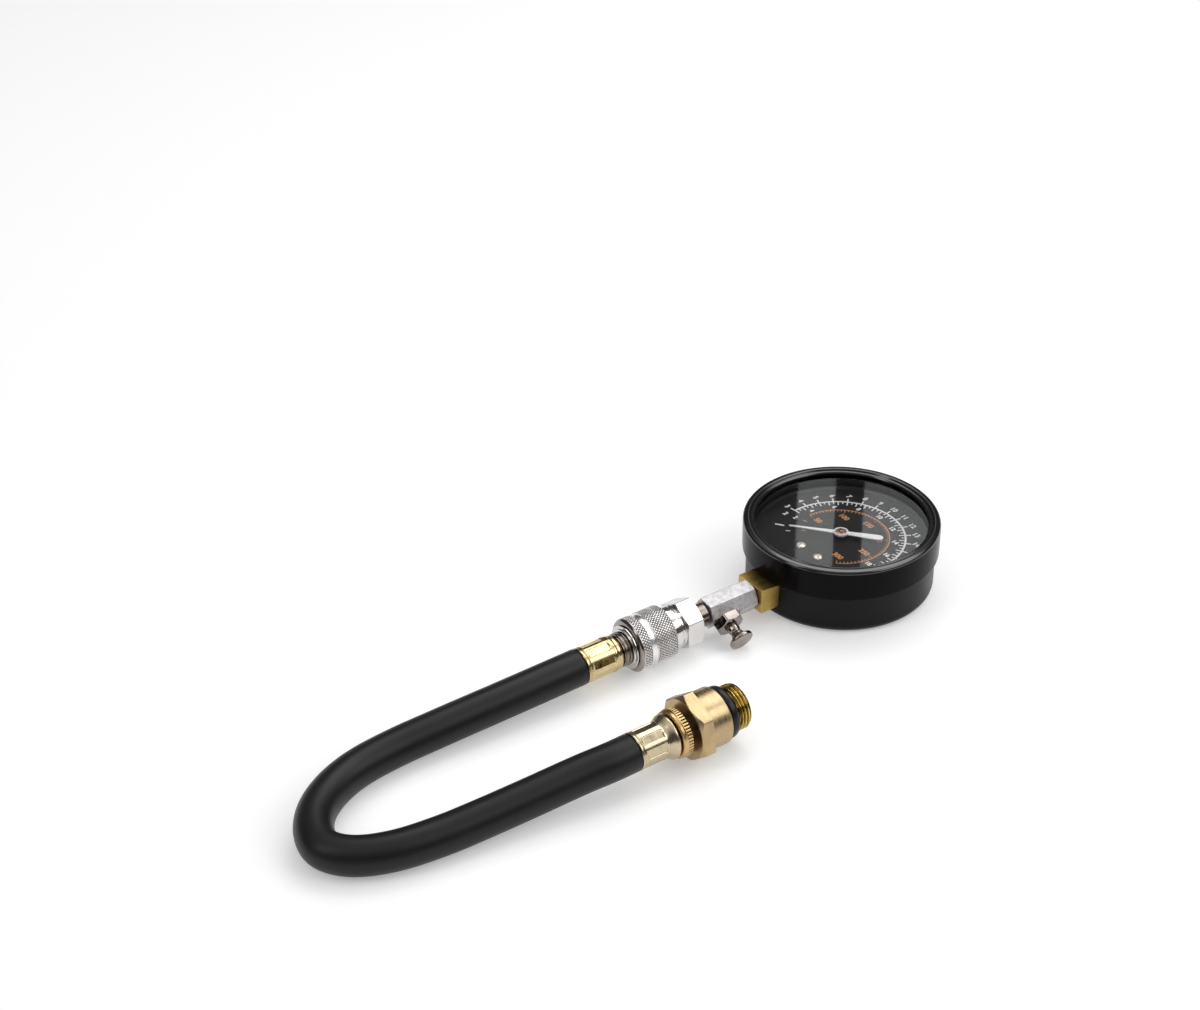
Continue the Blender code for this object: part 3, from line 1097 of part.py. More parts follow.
def build_far_end():
    """Make the far ferrule, the nipple with its hand ring, and the threaded adapter."""
    lip = FAR_LIP_X
    end = FAR_LIP_X + FAR_FERRULE_LENGTH
    r = FERRULE_RADIUS
    bore = NIPPLE_RADIUS + FIT
    bell = FERRULE_BELL_RADIUS
    loop = [(lip, bore), (lip, r - 0.2), (lip + 0.3, r + 0.15), (lip + 1.2, r + 0.15),
            (lip + 1.6, r - 0.1), (lip + 2.0, r), (end - 4.2, r), (end - 3.8, r + 0.05),
            (end - 2.6, r + 0.7), (end - 1.6, bell - 0.2), (end - 0.9, bell), (end - 0.4, bell - 0.1),
            (end, bell - 0.6), (end, bore)]
    shape = flattened(lip + 2.0, end - 4.2, r, r - 0.4, 8)
    register(lathe(FAR, loop, BODY_SEGMENTS, 0.0, shape), "far_ferrule", "zinc_yellow")

    ring_start = end + 2 * FIT
    ring_end = ring_start + HAND_RING_LENGTH
    shank_end = ADAPTER_X + SHANK_LENGTH
    loop = [(lip + 1.5, HOSE_BORE_RADIUS), (lip + 1.5, NIPPLE_RADIUS - 0.3),
            (lip + 2.0, NIPPLE_RADIUS),
            (end + FIT, NIPPLE_RADIUS), (end + FIT, NIPPLE_RING_RADIUS),
            (ADAPTER_X - FIT, NIPPLE_RING_RADIUS), (ADAPTER_X - FIT, SHANK_RADIUS),
            (shank_end - 0.6, SHANK_RADIUS), (shank_end, SHANK_RADIUS - 0.6),
            (shank_end, HOSE_BORE_RADIUS)]
    register(lathe(FAR, loop, 16), "far_nipple", "steel")

    bore = NIPPLE_RING_RADIUS + FIT
    count = RIB_COLUMNS

    def ribs(along, angle, given):
        if given < HAND_RING_RADIUS - 0.05:
            return given
        column = round(angle / (2 * math.pi) * count)
        return given - RIB_DEPTH if column % 2 else given

    r = HAND_RING_RADIUS
    loop = [(ring_start, bore), (ring_start, r - 0.9), (ring_start + 0.5, r - 0.3),
            (ring_start + 0.9, r - 0.3), (ring_start + 1.1, r), (ring_end - 0.3, r),
            (ring_end, r - 0.4), (ring_end, bore)]
    register(lathe(FAR, loop, count, 0.0, ribs), "hand_ring", "brass")

    hex_end = ADAPTER_X + ADAPTER_HEX_LENGTH
    body_end = hex_end + ADAPTER_BODY_LENGTH
    groove_end = body_end + O_RING_WIDTH + 2 * FIT
    thread_end = groove_end + THREAD_LENGTH
    groove = THREAD_RADIUS - THREAD_DEPTH - 0.2
    core = ADAPTER_BORE_RADIUS
    loop = [(ADAPTER_X, SHANK_RADIUS + FIT)] + chamfered(ADAPTER_X, hex_end, ADAPTER_FLATS, 1.6, 0.5)
    loop += [(hex_end, ADAPTER_BODY_RADIUS), (body_end - 0.4, ADAPTER_BODY_RADIUS),
             (body_end, ADAPTER_BODY_RADIUS - 0.4), (body_end, groove), (groove_end, groove)]
    rows = 18
    for row in range(rows + 1):
        loop.append((groove_end + 0.05 + (THREAD_LENGTH - 0.1) * row / rows, THREAD_RADIUS))
    loop += [(thread_end, groove - 0.3), (thread_end, core), (shank_end + 1.0, core),
             (shank_end + FIT, SHANK_RADIUS + FIT)]
    hexed = hexagon(ADAPTER_TURN, ADAPTER_FLATS, ADAPTER_X, hex_end)

    def threaded(along, angle, given):
        if given != THREAD_RADIUS or along < groove_end:
            return hexed(along, angle, given)
        turn = (along - groove_end) / THREAD_PITCH - angle / (2 * math.pi)
        wave = abs((turn % 1.0) * 2 - 1)
        depth = (THREAD_DEPTH - 0.05) * min(1.0, max(0.0, (wave - 0.15) / 0.7))
        from_end = min(along - groove_end, thread_end - along)
        return given - max(depth, THREAD_DEPTH - from_end * 1.1)

    register(lathe(FAR, loop, 36, ADAPTER_TURN, threaded), "adapter", "brass")

    middle = (body_end + groove_end) / 2
    inner = groove + FIT
    height = (O_RING_RADIUS - inner) / 2
    loop = [(middle + O_RING_WIDTH / 2 * math.cos(turn), inner + height + height * math.sin(turn))
            for turn in (2 * math.pi * (step + 0.5) / 8 for step in range(8))]
    register(lathe(FAR, loop, 30), "adapter_o_ring", "black_rubber")

    loop = ((thread_end - 6.5, 0), (thread_end - 6.5, 1.2), (thread_end - 5.0, core - FIT),
            (thread_end - 1.2, core - FIT), (thread_end - 1.0, core - 0.9),
            (thread_end - 1.0, 0.5), (thread_end - 0.5, 0.4), (thread_end - 0.5, 0))
    register(lathe(FAR, loop, 12), "check_valve", "brass")


def main():
    """Build every piece."""
    clear_scene()
    build_case()
    build_dial()
    build_stem()
    build_movement()
    build_valve()
    build_coupler()
    build_near_end()
    build_hose()
    build_far_end()


main()
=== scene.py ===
import logging
import math
from dataclasses import dataclass
from enum import Enum
from typing import Callable, Sequence

import bmesh
import bpy
import numpy as np
from mathutils import Matrix, Vector


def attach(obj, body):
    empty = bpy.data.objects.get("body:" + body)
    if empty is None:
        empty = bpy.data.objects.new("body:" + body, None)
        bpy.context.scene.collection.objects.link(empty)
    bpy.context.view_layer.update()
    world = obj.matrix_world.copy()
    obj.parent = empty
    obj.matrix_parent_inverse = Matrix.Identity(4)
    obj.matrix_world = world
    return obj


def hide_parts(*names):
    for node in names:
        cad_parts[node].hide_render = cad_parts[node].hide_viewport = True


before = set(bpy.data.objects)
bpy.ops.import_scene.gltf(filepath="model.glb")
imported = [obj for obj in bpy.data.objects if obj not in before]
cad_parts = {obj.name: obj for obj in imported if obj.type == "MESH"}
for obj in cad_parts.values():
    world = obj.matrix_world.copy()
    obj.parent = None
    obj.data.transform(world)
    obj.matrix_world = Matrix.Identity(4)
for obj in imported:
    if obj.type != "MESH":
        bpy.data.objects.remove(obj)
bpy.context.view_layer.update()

LOG = logging.getLogger("compression_gauge")
MM = 0.001
TAU = 2.0 * math.pi

# Distances in metres below which points merge and slivers dissolve.
MERGE = 2e-7
SLIVER = 1e-8
# The angle in degrees above which an edge stays sharp, unless a piece says otherwise.
SHARP = 32.0
# A hair's breadth in millimetres, by which two stations are told apart.
HAIR = 1e-5
# The share of the flats below which a hexagon's profile stays round.
HEX_CORE = 0.44
# How far a hexagon's end cones start below its flats, and how many points they get.
CONE_DROP = 0.15
CONE_STEPS = 9
# How much of a side the ease of a corner may take.
EASE_SHARE = 0.49

Shaper = Callable[[np.ndarray, np.ndarray, np.ndarray], np.ndarray]
Bearing = Callable[[np.ndarray], np.ndarray]
Profile = Sequence[tuple[float, ...]]


class Body(Enum):
    """The CAD bodies that pieces ride on."""

    GAUGE = "gauge"
    POINTER = "pointer_wheel"
    BUTTON = "button"
    SLEEVE = "sleeve"
    HOSE_END = "hose_end"


@dataclass(frozen=True)
class Axis:
    """A line in space with a side direction, in millimetres, on which pieces are laid out."""

    origin: tuple[float, float, float]
    along: tuple[float, float, float]
    side: tuple[float, float, float]

    def place(self, along: np.ndarray, across: np.ndarray, up: np.ndarray) -> np.ndarray:
        """Turn axis coordinates into points of the row frame.

        Args:
            along: distances along the axis.
            across: distances in the side direction.
            up: distances in the third direction, along x side.

        Returns:
            Points with one more dimension than the inputs, in millimetres.
        """
        a = np.array(self.along, dtype=float)
        a /= np.linalg.norm(a)
        b = np.array(self.side, dtype=float)
        b -= a * b.dot(a)
        b /= np.linalg.norm(b)
        c = np.cross(a, b)
        spread = np.broadcast_arrays(along, across, up)
        return (np.array(self.origin) + spread[0][..., None] * a
                + spread[1][..., None] * b + spread[2][..., None] * c)


# Where the stem, the hose's far end and the button lie, in millimetres, and their axes.
STEM_Z = 11.4
FAR_Y = -56.6
FAR_Z = 13.8
BUTTON_X = -62.6
BUTTON_TILT = math.radians(23.0)
UP = Axis((0.0, 0.0, 0.0), (0.0, 0.0, 1.0), (1.0, 0.0, 0.0))
STEM = Axis((0.0, 0.0, STEM_Z), (1.0, 0.0, 0.0), (0.0, 1.0, 0.0))
FAR = Axis((0.0, FAR_Y, FAR_Z), (1.0, 0.0, 0.0), (0.0, 1.0, 0.0))
ALONG = Axis((0.0, 0.0, 0.0), (1.0, 0.0, 0.0), (0.0, 1.0, 0.0))
BUTTON = Axis((BUTTON_X, 0.0, STEM_Z), (0.0, -math.cos(BUTTON_TILT), -math.sin(BUTTON_TILT)),
              (1.0, 0.0, 0.0))


def upright(x: float, y: float) -> Axis:
    """Return a vertical axis through a point of the dial."""
    return Axis((x, y, 0.0), (0.0, 0.0, 1.0), (1.0, 0.0, 0.0))


def eased(points: Profile, steps: int = 5) -> np.ndarray:
    """Round the corners of a profile.

    Each point is (along, radius) or (along, radius, ease).  A corner with an ease is replaced
    by a quadratic curve that starts and ends that far from it.

    Args:
        points: the closed profile's corners in order.
        steps: how many points a rounded corner gets.

    Returns:
        An array of (along, radius) rows.
    """
    corners = [np.array(point[:2], dtype=float) for point in points]
    eases = [point[2] if len(point) > 2 else 0.0 for point in points]
    result: list[np.ndarray] = []
    count = len(corners)
    for index, (corner, ease) in enumerate(zip(corners, eases)):
        if ease <= 0.0:
            result.append(corner)
            continue
        before = corners[index - 1] - corner
        after = corners[(index + 1) % count] - corner
        first = corner + before * min(EASE_SHARE, ease / max(np.linalg.norm(before), 1e-9))
        last = corner + after * min(EASE_SHARE, ease / max(np.linalg.norm(after), 1e-9))
        t = np.linspace(0.0, 1.0, steps)[:, None]
        result.extend((1 - t) ** 2 * first + 2 * t * (1 - t) * corner + t ** 2 * last)
    return np.array(result)


def dense(start: float, end: float, radius: float, rows: int) -> list[tuple[float, float]]:
    """Return evenly spaced profile points of one radius."""
    return [(float(a), radius) for a in np.linspace(start, end, rows)]


def rod(low: float, high: float, radius: float) -> np.ndarray:
    """Return the profile of a plain rod, from pole to pole."""
    return np.array(((low, 0.0), (low, radius), (high, radius), (high, 0.0)))


def mesh_piece(name: str, points: np.ndarray, faces: np.ndarray, material: bpy.types.Material,
               sharp: float = SHARP, groove: np.ndarray | None = None) -> bpy.types.Object:
    """Make an object from points in millimetres and quads, merged, closed and facing out.

    Args:
        name: the piece's name.
        points: an array of n x 3 coordinates in millimetres.
        faces: an array of m x 4 indices.
        material: the finish.
        sharp: the angle in degrees above which an edge stays sharp.
        groove: how deep each point is sunk in millimetres, kept as the attribute "groove".

    Returns:
        The new object, linked to the scene.
    """
    mesh = bpy.data.meshes.new(name)
    mesh.from_pydata((points.reshape(-1, 3) * MM).tolist(), [], faces.reshape(-1, 4).tolist())
    if groove is not None:
        sunk = mesh.attributes.new("groove", "FLOAT", "POINT")
        sunk.data.foreach_set("value", groove.astype(np.float32).ravel())
    work = bmesh.new()
    work.from_mesh(mesh)
    bmesh.ops.remove_doubles(work, verts=work.verts, dist=MERGE)
    bmesh.ops.dissolve_degenerate(work, edges=work.edges, dist=SLIVER)
    bmesh.ops.recalc_face_normals(work, faces=work.faces)
    if work.calc_volume(signed=True) < 0.0:
        bmesh.ops.reverse_faces(work, faces=work.faces)
    work.to_mesh(mesh)
    work.free()
    mesh.shade_smooth()
    mesh.set_sharp_from_angle(angle=math.radians(sharp))
    mesh.materials.append(material)
    piece = bpy.data.objects.new(name, mesh)
    bpy.context.scene.collection.objects.link(piece)
    return piece


def grid_faces(rows: int, columns: int, wrap_rows: bool, wrap_columns: bool) -> np.ndarray:
    """Return the quads of a grid of rows x columns points.

    A quad joins a point to the next in its row, the next row's next and the next row's same.

    Args:
        rows: how many rows of points there are.
        columns: how many points a row has.
        wrap_rows: whether the last row joins the first.
        wrap_columns: whether each row is a ring.

    Returns:
        An array of m x 4 indices.
    """
    index = np.arange(rows * columns).reshape(rows, columns)
    if wrap_rows:
        index = np.vstack([index, index[:1]])
    if wrap_columns:
        index = np.hstack([index, index[:, :1]])
    return np.stack([index[:-1, :-1], index[:-1, 1:], index[1:, 1:], index[1:, :-1]],
                    axis=-1).reshape(-1, 4)


def turned(name: str, axis: Axis, profile: np.ndarray, material: bpy.types.Material,
           segments: int = 96, shaper: Shaper | None = None, sharp: float = SHARP,
           start: float = 0.0, sunk_below: float = 0.0) -> bpy.types.Object:
    """Turn a closed profile about an axis.

    The point at (a, t) is a along the axis and shaper(a, t, r) away from it at angle t,
    where (a, r) runs round the closed profile.  Radius 0 makes a closed pole.

    Args:
        name: the piece's name.
        axis: the axis to turn about.
        profile: an array of (along, radius) rows, closed from its last row to its first.
        material: the finish.
        segments: how many columns go round.
        shaper: changes the radius by position and angle.
        sharp: the angle in degrees above which an edge stays sharp.
        start: the angle of the first column in degrees.
        sunk_below: the profile radius up to which the shaper's sinking is kept as a groove.

    Returns:
        The new object.
    """
    along = profile[:, 0][:, None]
    radius = profile[:, 1][:, None]
    angle = (math.radians(start) + np.arange(segments) * TAU / segments)[None, :]
    full = np.broadcast_to(radius, (len(profile), segments))
    reach = full.copy()
    groove = None
    if shaper is not None:
        reach = shaper(along + 0.0 * angle, angle + 0.0 * along, reach)
        groove = np.where(full <= sunk_below, full - reach, 0.0)
    points = axis.place(along + 0.0 * angle, reach * np.cos(angle), reach * np.sin(angle))
    return mesh_piece(name, points, grid_faces(len(profile), segments, True, True), material,
                      sharp=sharp, groove=groove)


def polygon(turn: float, flats: float, sides: int = 6, edge: float = 0.12) -> Bearing:
    """Return a function of angle that gives a regular polygon's reach, its corners broken.

    The reach is half the flats over the cosine of the angle from the nearest side's middle,
    cut off at the corner's reach less the edge.

    Args:
        turn: the angle of a corner in degrees.
        flats: the width across the flats.
        sides: how many sides there are.
        edge: how much of the reach a broken corner loses.

    Returns:
        A function from angles in radians to reaches.
    """
    half = math.pi / sides
    corner = flats / 2 / math.cos(half) - edge

    def reach(angle: np.ndarray) -> np.ndarray:
        """Return the reach at each angle."""
        within = (angle - math.radians(turn)) % (2 * half) - half
        return np.minimum(flats / 2 / np.cos(within), corner)

    return reach


def hexagon(turn: float, flats: float, first: float, last: float, edge: float = 0.12) -> Shaper:
    """Return a shaper that makes a chamfered hexagon between two stations.

    The reach is the smaller of the hexagon's reach and the profile's own radius, so that the
    profile turns the corners off.

    Args:
        turn: the angle of a corner in degrees.
        flats: the width across the flats.
        first: the hexagon's first station.
        last: the hexagon's last station.
        edge: how much of the reach a broken corner loses.

    Returns:
        The shaper.
    """
    sides = polygon(turn, flats, edge=edge)

    def shaper(along: np.ndarray, angle: np.ndarray, radius: np.ndarray) -> np.ndarray:
        """Cut the radii down to the hexagon between its stations.

        Args:
            along: the distances along the axis.
            angle: the angles round it in radians.
            radius: the profile's radii.

        Returns:
            The radii, with the hexagon's reach where it is smaller.
        """
        inside = (along >= first - HAIR / 10) & (along <= last + HAIR / 10)
        inside &= radius > flats * HEX_CORE
        return np.where(inside, np.minimum(radius, sides(angle)), radius)

    return shaper


def chamfer_rows(start: float, end: float, flats: float, start_cut: float,
                 end_cut: float) -> list[tuple[float, float]]:
    """Return profile points along a hexagon whose two ends are turned to cones.

    Args:
        start: the hexagon's first station.
        end: the hexagon's last station.
        flats: the width across the flats.
        start_cut: how long the cone at the start is.
        end_cut: how long the cone at the end is.

    Returns:
        Rows of (along, radius) from the start to the end.
    """
    face = flats / 2 - CONE_DROP
    corner = flats / 2 / math.cos(math.pi / 6)
    points: list[tuple[float, float]] = []
    for part in np.linspace(0.0, 1.0, CONE_STEPS):
        points.append((start + start_cut * part, face + (corner - face) * part))
    for part in np.linspace(1.0, 0.0, CONE_STEPS):
        points.append((end - end_cut * part, face + (corner - face) * part))
    return points


def slab(name: str, outline: np.ndarray, low: float, high: float, material: bpy.types.Material,
         ease: float = 0.1, axis: Axis = UP, sharp: float = SHARP) -> bpy.types.Object:
    """Raise a closed outline to a slab with eased rims.

    A ring of the slab is the outline moved inward along its normals, most at the two flat sides
    and not at all between the rims, and the first and the last ring are drawn to the centre.

    Args:
        name: the piece's name.
        outline: an array of (across, up) rows, convex or nearly so.
        low: the lower station along the axis.
        high: the upper station along the axis.
        material: the finish.
        ease: how far the rims are rounded.
        axis: the axis that the slab is raised along.
        sharp: the angle in degrees above which an edge stays sharp.

    Returns:
        The new object.
    """
    after = np.roll(outline, -1, axis=0) - outline
    before = outline - np.roll(outline, 1, axis=0)
    along = after / np.linalg.norm(after, axis=1)[:, None]
    back = before / np.linalg.norm(before, axis=1)[:, None]
    tangent = along + back
    tangent /= np.linalg.norm(tangent, axis=1)[:, None]
    normal = np.stack([tangent[:, 1], -tangent[:, 0]], axis=1)
    area = 0.5 * np.sum(outline[:, 0] * np.roll(outline[:, 1], -1)
                        - np.roll(outline[:, 0], -1) * outline[:, 1])
    normal *= math.copysign(1.0, area)
    centre = outline.mean(axis=0)
    rings = []
    for station, inset in ((low, 1.0), (low, 0.0), (low + ease * 0.3, -0.7), (low + ease, -1.0),
                           (high - ease, -1.0), (high - ease * 0.3, -0.7), (high, 0.0),
                           (high, 1.0)):
        if inset > 0.5:
            ring = centre + (outline - centre) * 1e-6
        else:
            ring = outline - normal * ease * (1.0 + inset)
        rings.append(axis.place(np.full(len(ring), station), ring[:, 0], ring[:, 1]))
    points = np.stack(rings)
    return mesh_piece(name, points, grid_faces(len(rings), len(outline), False, True), material,
                      sharp=sharp)


def rounded_box(name: str, lows: Sequence[float], highs: Sequence[float], ease: float,
                material: bpy.types.Material) -> bpy.types.Object:
    """Make a box with rounded edges.

    The surface is a rectangle in y and z with quarter circles at its corners, raised along x
    as a slab.

    Args:
        name: the piece's name.
        lows: the lowest corner in millimetres.
        highs: the highest corner in millimetres.
        ease: the radius of the edges.
        material: the finish.

    Returns:
        The new object.
    """
    low, high = np.array(lows, dtype=float), np.array(highs, dtype=float)
    middle = (low + high) / 2
    half = (high - low) / 2 - ease
    turn = (np.arange(4)[:, None] * math.pi / 2 + np.linspace(0.0, math.pi / 2, 5)[None, :])
    sides = np.array(((1, 1), (-1, 1), (-1, -1), (1, -1)))[:, None, :]
    arcs = ease * np.stack([np.cos(turn), np.sin(turn)], axis=-1)
    outline = (middle[1:] + sides * half[1:] + arcs).reshape(-1, 2)
    return slab(name, outline, low[0], high[0], material, ease=ease, axis=ALONG)


def join(name: str, parts: Sequence[bpy.types.Object]) -> bpy.types.Object:
    """Join several objects into one mesh object.

    Args:
        name: the joined object's name.
        parts: the objects, each with one material.

    Returns:
        The joined object, which keeps each part's material.
    """
    work = bmesh.new()
    materials: list[bpy.types.Material] = []
    for part in parts:
        start = len(work.faces)
        work.from_mesh(part.data)
        work.faces.ensure_lookup_table()
        slot = len(materials)
        materials.append(part.data.materials[0])
        for face in work.faces[start:]:
            face.material_index = slot
    mesh = bpy.data.meshes.new(name)
    work.to_mesh(mesh)
    work.free()
    for material in materials:
        mesh.materials.append(material)
    joined = bpy.data.objects.new(name, mesh)
    bpy.context.scene.collection.objects.link(joined)
    for part in parts:
        bpy.data.objects.remove(part, do_unlink=True)
    return joined


def cut(target: bpy.types.Object, tools: Sequence[bpy.types.Object]) -> None:
    """Cut tools out of a target for good and remove them.

    Args:
        target: the object that is cut.
        tools: the closed objects that are cut out of it.
    """
    for tool in tools:
        change = target.modifiers.new("cut", "BOOLEAN")
        change.operation = "DIFFERENCE"
        change.solver = "EXACT"
        change.object = tool
        graph = bpy.context.evaluated_depsgraph_get()
        made = bpy.data.meshes.new_from_object(target.evaluated_get(graph))
        target.modifiers.clear()
        target.data = made
        bpy.data.objects.remove(tool, do_unlink=True)
    target.data.shade_smooth()
    target.data.set_sharp_from_angle(angle=math.radians(SHARP))


def recoat(piece: bpy.types.Object, material: bpy.types.Material,
           chosen: Callable[[np.ndarray], np.ndarray]) -> None:
    """Give some faces of a piece a second material.

    Args:
        piece: the piece, which has one material.
        material: the second material.
        chosen: tells from rows of face centres, in metres, which faces get it.
    """
    mesh = piece.data
    mesh.materials.append(material)
    centres = np.empty((len(mesh.polygons), 3))
    mesh.polygons.foreach_get("center", centres.ravel())
    mesh.polygons.foreach_set("material_index", chosen(centres).astype(np.int32))


def deliver(piece: bpy.types.Object, body: Body, slot: str, *nodes: str) -> bpy.types.Object:
    """Set a finished piece on its body, in place of its CAD nodes.

    Args:
        piece: the finished piece.
        body: the body that it rides on.
        slot: the record's material slot; not used.
        nodes: the CAD nodes that it stands for.

    Returns:
        The same piece.
    """
    even = piece.modifiers.new("even_normals", "WEIGHTED_NORMAL")
    even.keep_sharp = True
    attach(piece, body.value)
    if nodes:
        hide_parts(*nodes)
    LOG.info("%s: %d faces", piece.name, len(piece.data.polygons) if piece.type == "MESH" else 0)
    return piece


class Shade:
    """A material under construction, with short ways to add its nodes."""

    def __init__(self, name: str) -> None:
        """Start a material that has only its Principled shader.

        Args:
            name: the material's name.
        """
        self.material = bpy.data.materials.new(name)
        self.material.use_nodes = True
        self.tree = self.material.node_tree
        self.shader = self.tree.nodes["Principled BSDF"]
        self.coordinates = self.add("ShaderNodeTexCoord")

    def add(self, kind: str, **values: object) -> bpy.types.Node:
        """Add a node and set its properties.

        Args:
            kind: the node's type.
            values: the node's properties by name.

        Returns:
            The new node.
        """
        node = self.tree.nodes.new(kind)
        for key, value in values.items():
            setattr(node, key, value)
        return node

    def link(self, source: bpy.types.NodeSocket, target: bpy.types.NodeSocket) -> None:
        """Link two sockets."""
        self.tree.links.new(source, target)

    def set(self, **values: object) -> None:
        """Set sockets of the shader, with underscores for spaces in their names."""
        for key, value in values.items():
            self.shader.inputs[key.replace("_", " ")].default_value = value

    def noise(self, scale: float, stretch: tuple[float, float, float] = (1.0, 1.0, 1.0),
              detail: float = 4.0, roughness: float = 0.55) -> bpy.types.NodeSocket:
        """Add noise on object coordinates, with the scale in features per metre.

        Args:
            scale: how many features there are in a metre.
            stretch: factors on the three coordinates.
            detail: the noise's detail.
            roughness: the noise's roughness.

        Returns:
            The noise's value socket.
        """
        mapping = self.add("ShaderNodeMapping")
        mapping.inputs["Scale"].default_value = stretch
        self.link(self.coordinates.outputs["Object"], mapping.inputs["Vector"])
        noise = self.add("ShaderNodeTexNoise")
        noise.inputs["Scale"].default_value = scale
        noise.inputs["Detail"].default_value = detail
        noise.inputs["Roughness"].default_value = roughness
        self.link(mapping.outputs["Vector"], noise.inputs["Vector"])
        return noise.outputs["Fac"]

    def ramp(self, value: bpy.types.NodeSocket,
             stops: Sequence[tuple[float, tuple[float, float, float]]]) -> bpy.types.NodeSocket:
        """Turn a value into a colour along stops of (position, colour).

        Args:
            value: the value that chooses the colour.
            stops: the positions and colours in order.

        Returns:
            The ramp's colour socket.
        """
        node = self.add("ShaderNodeValToRGB")
        ramp = node.color_ramp
        while len(ramp.elements) < len(stops):
            ramp.elements.new(0.5)
        for element, (position, colour) in zip(ramp.elements, stops):
            element.position = position
            element.color = (*colour, 1.0)
        self.link(value, node.inputs["Fac"])
        return node.outputs["Color"]

    def span(self, value: bpy.types.NodeSocket, low: float, high: float,
             first: float = 0.3, last: float = 0.7) -> bpy.types.NodeSocket:
        """Map a value between two limits onto a new range.

        Args:
            value: the value that is mapped.
            low: the result at the first limit.
            high: the result at the last limit.
            first: the value's first limit.
            last: the value's last limit.

        Returns:
            The result's socket.
        """
        node = self.add("ShaderNodeMapRange")
        node.inputs["From Min"].default_value = first
        node.inputs["From Max"].default_value = last
        node.inputs["To Min"].default_value = low
        node.inputs["To Max"].default_value = high
        self.link(value, node.inputs["Value"])
        return node.outputs["Result"]

    def darkened(self, tone: bpy.types.NodeSocket, worn: "Worn") -> bpy.types.NodeSocket:
        """Darken a colour in the grooves as painted shade.

        The depth that the piece keeps as "groove" is mapped to a factor between 1 at the
        surface and the shade at the darkest depth, by which the colour is multiplied.

        Args:
            tone: the clean colour.
            worn: the painted shade, as the depth at which the groove is darkest and its factor.

        Returns:
            The darkened colour.
        """
        sunk = self.add("ShaderNodeAttribute", attribute_name="groove")
        share = self.span(sunk.outputs["Fac"], 1.0, worn.shade, worn.clean, worn.depth)
        scaled = self.add("ShaderNodeVectorMath", operation="SCALE")
        self.link(tone, scaled.inputs[0])
        self.link(share, scaled.inputs["Scale"])
        return scaled.outputs[0]

    def bump(self, height: bpy.types.NodeSocket, depth: float, strength: float = 0.5) -> None:
        """Add a bump with a depth in metres.

        Args:
            height: the height from 0 to 1.
            depth: what a height of 1 stands for, in metres.
            strength: how strongly the bump shows.
        """
        node = self.add("ShaderNodeBump")
        node.inputs["Strength"].default_value = strength
        node.inputs["Distance"].default_value = depth
        self.link(height, node.inputs["Height"])
        self.link(node.outputs["Normal"], self.shader.inputs["Normal"])


@dataclass(frozen=True)
class Paint:
    """A painted or printed surface with faint unevenness."""

    name: str
    colour: tuple[float, float, float]
    roughness: float
    spread: float = 0.06
    specular: float = 0.5
    cloud: float = 90.0
    dark: float = 0.8
    grain: float = 2600.0
    depth: float = 0.00002
    strength: float = 0.25

    def make(self) -> bpy.types.Material:
        """Build the material.

        Returns:
            The finished material.
        """
        shade = Shade(self.name)
        shade.set(Specular_IOR_Level=self.specular)
        darker = tuple(self.dark * part for part in self.colour)
        cloud = shade.noise(self.cloud)
        shade.link(shade.ramp(cloud, ((0.3, darker), (0.7, self.colour))),
                   shade.shader.inputs["Base Color"])
        shade.link(shade.span(cloud, self.roughness - self.spread, self.roughness + self.spread),
                   shade.shader.inputs["Roughness"])
        shade.bump(shade.noise(self.grain, detail=2.0), self.depth, self.strength)
        return shade.material


@dataclass(frozen=True)
class Worn:
    """How dark painted shade makes the grooves of a piece, deeper being darker, with depths in
    millimetres.
    """

    depth: float
    shade: float = 0.15
    clean: float = 0.02


@dataclass(frozen=True)
class Metal:
    """A machined or plated metal with tone, stain, tool marks and, where given, painted shade in
    its grooves.

    The tool marks are noise that is squeezed along the direction that they cross.
    """

    name: str
    colour: tuple[float, float, float]
    stain: tuple[float, float, float]
    roughness: tuple[float, float]
    marks: tuple[float, float, float] = (1.0, 1.0, 1.0)
    mark_scale: float = 900.0
    mark_depth: float = 0.00002
    mark_strength: float = 0.25
    stain_scale: float = 140.0
    stain_span: tuple[float, float] = (0.42, 0.72)
    # Painted shade in the grooves, darker with depth, if any.
    worn: Worn | None = None

    def make(self) -> bpy.types.Material:
        """Build the material.

        Returns:
            The finished material.
        """
        shade = Shade(self.name)
        shade.set(Metallic=1.0)
        patch = shade.noise(self.stain_scale, detail=5.0)
        tone = shade.ramp(patch, ((self.stain_span[0], self.colour),
                                  (self.stain_span[1], self.stain)))
        # Darken the grooves as painted shade.
        if self.worn:
            tone = shade.darkened(tone, self.worn)
        shade.link(tone, shade.shader.inputs["Base Color"])
        streak = shade.noise(self.mark_scale, self.marks, detail=3.0)
        shade.link(shade.span(streak, *self.roughness), shade.shader.inputs["Roughness"])
        shade.bump(streak, self.mark_depth, self.mark_strength)
        return shade.material


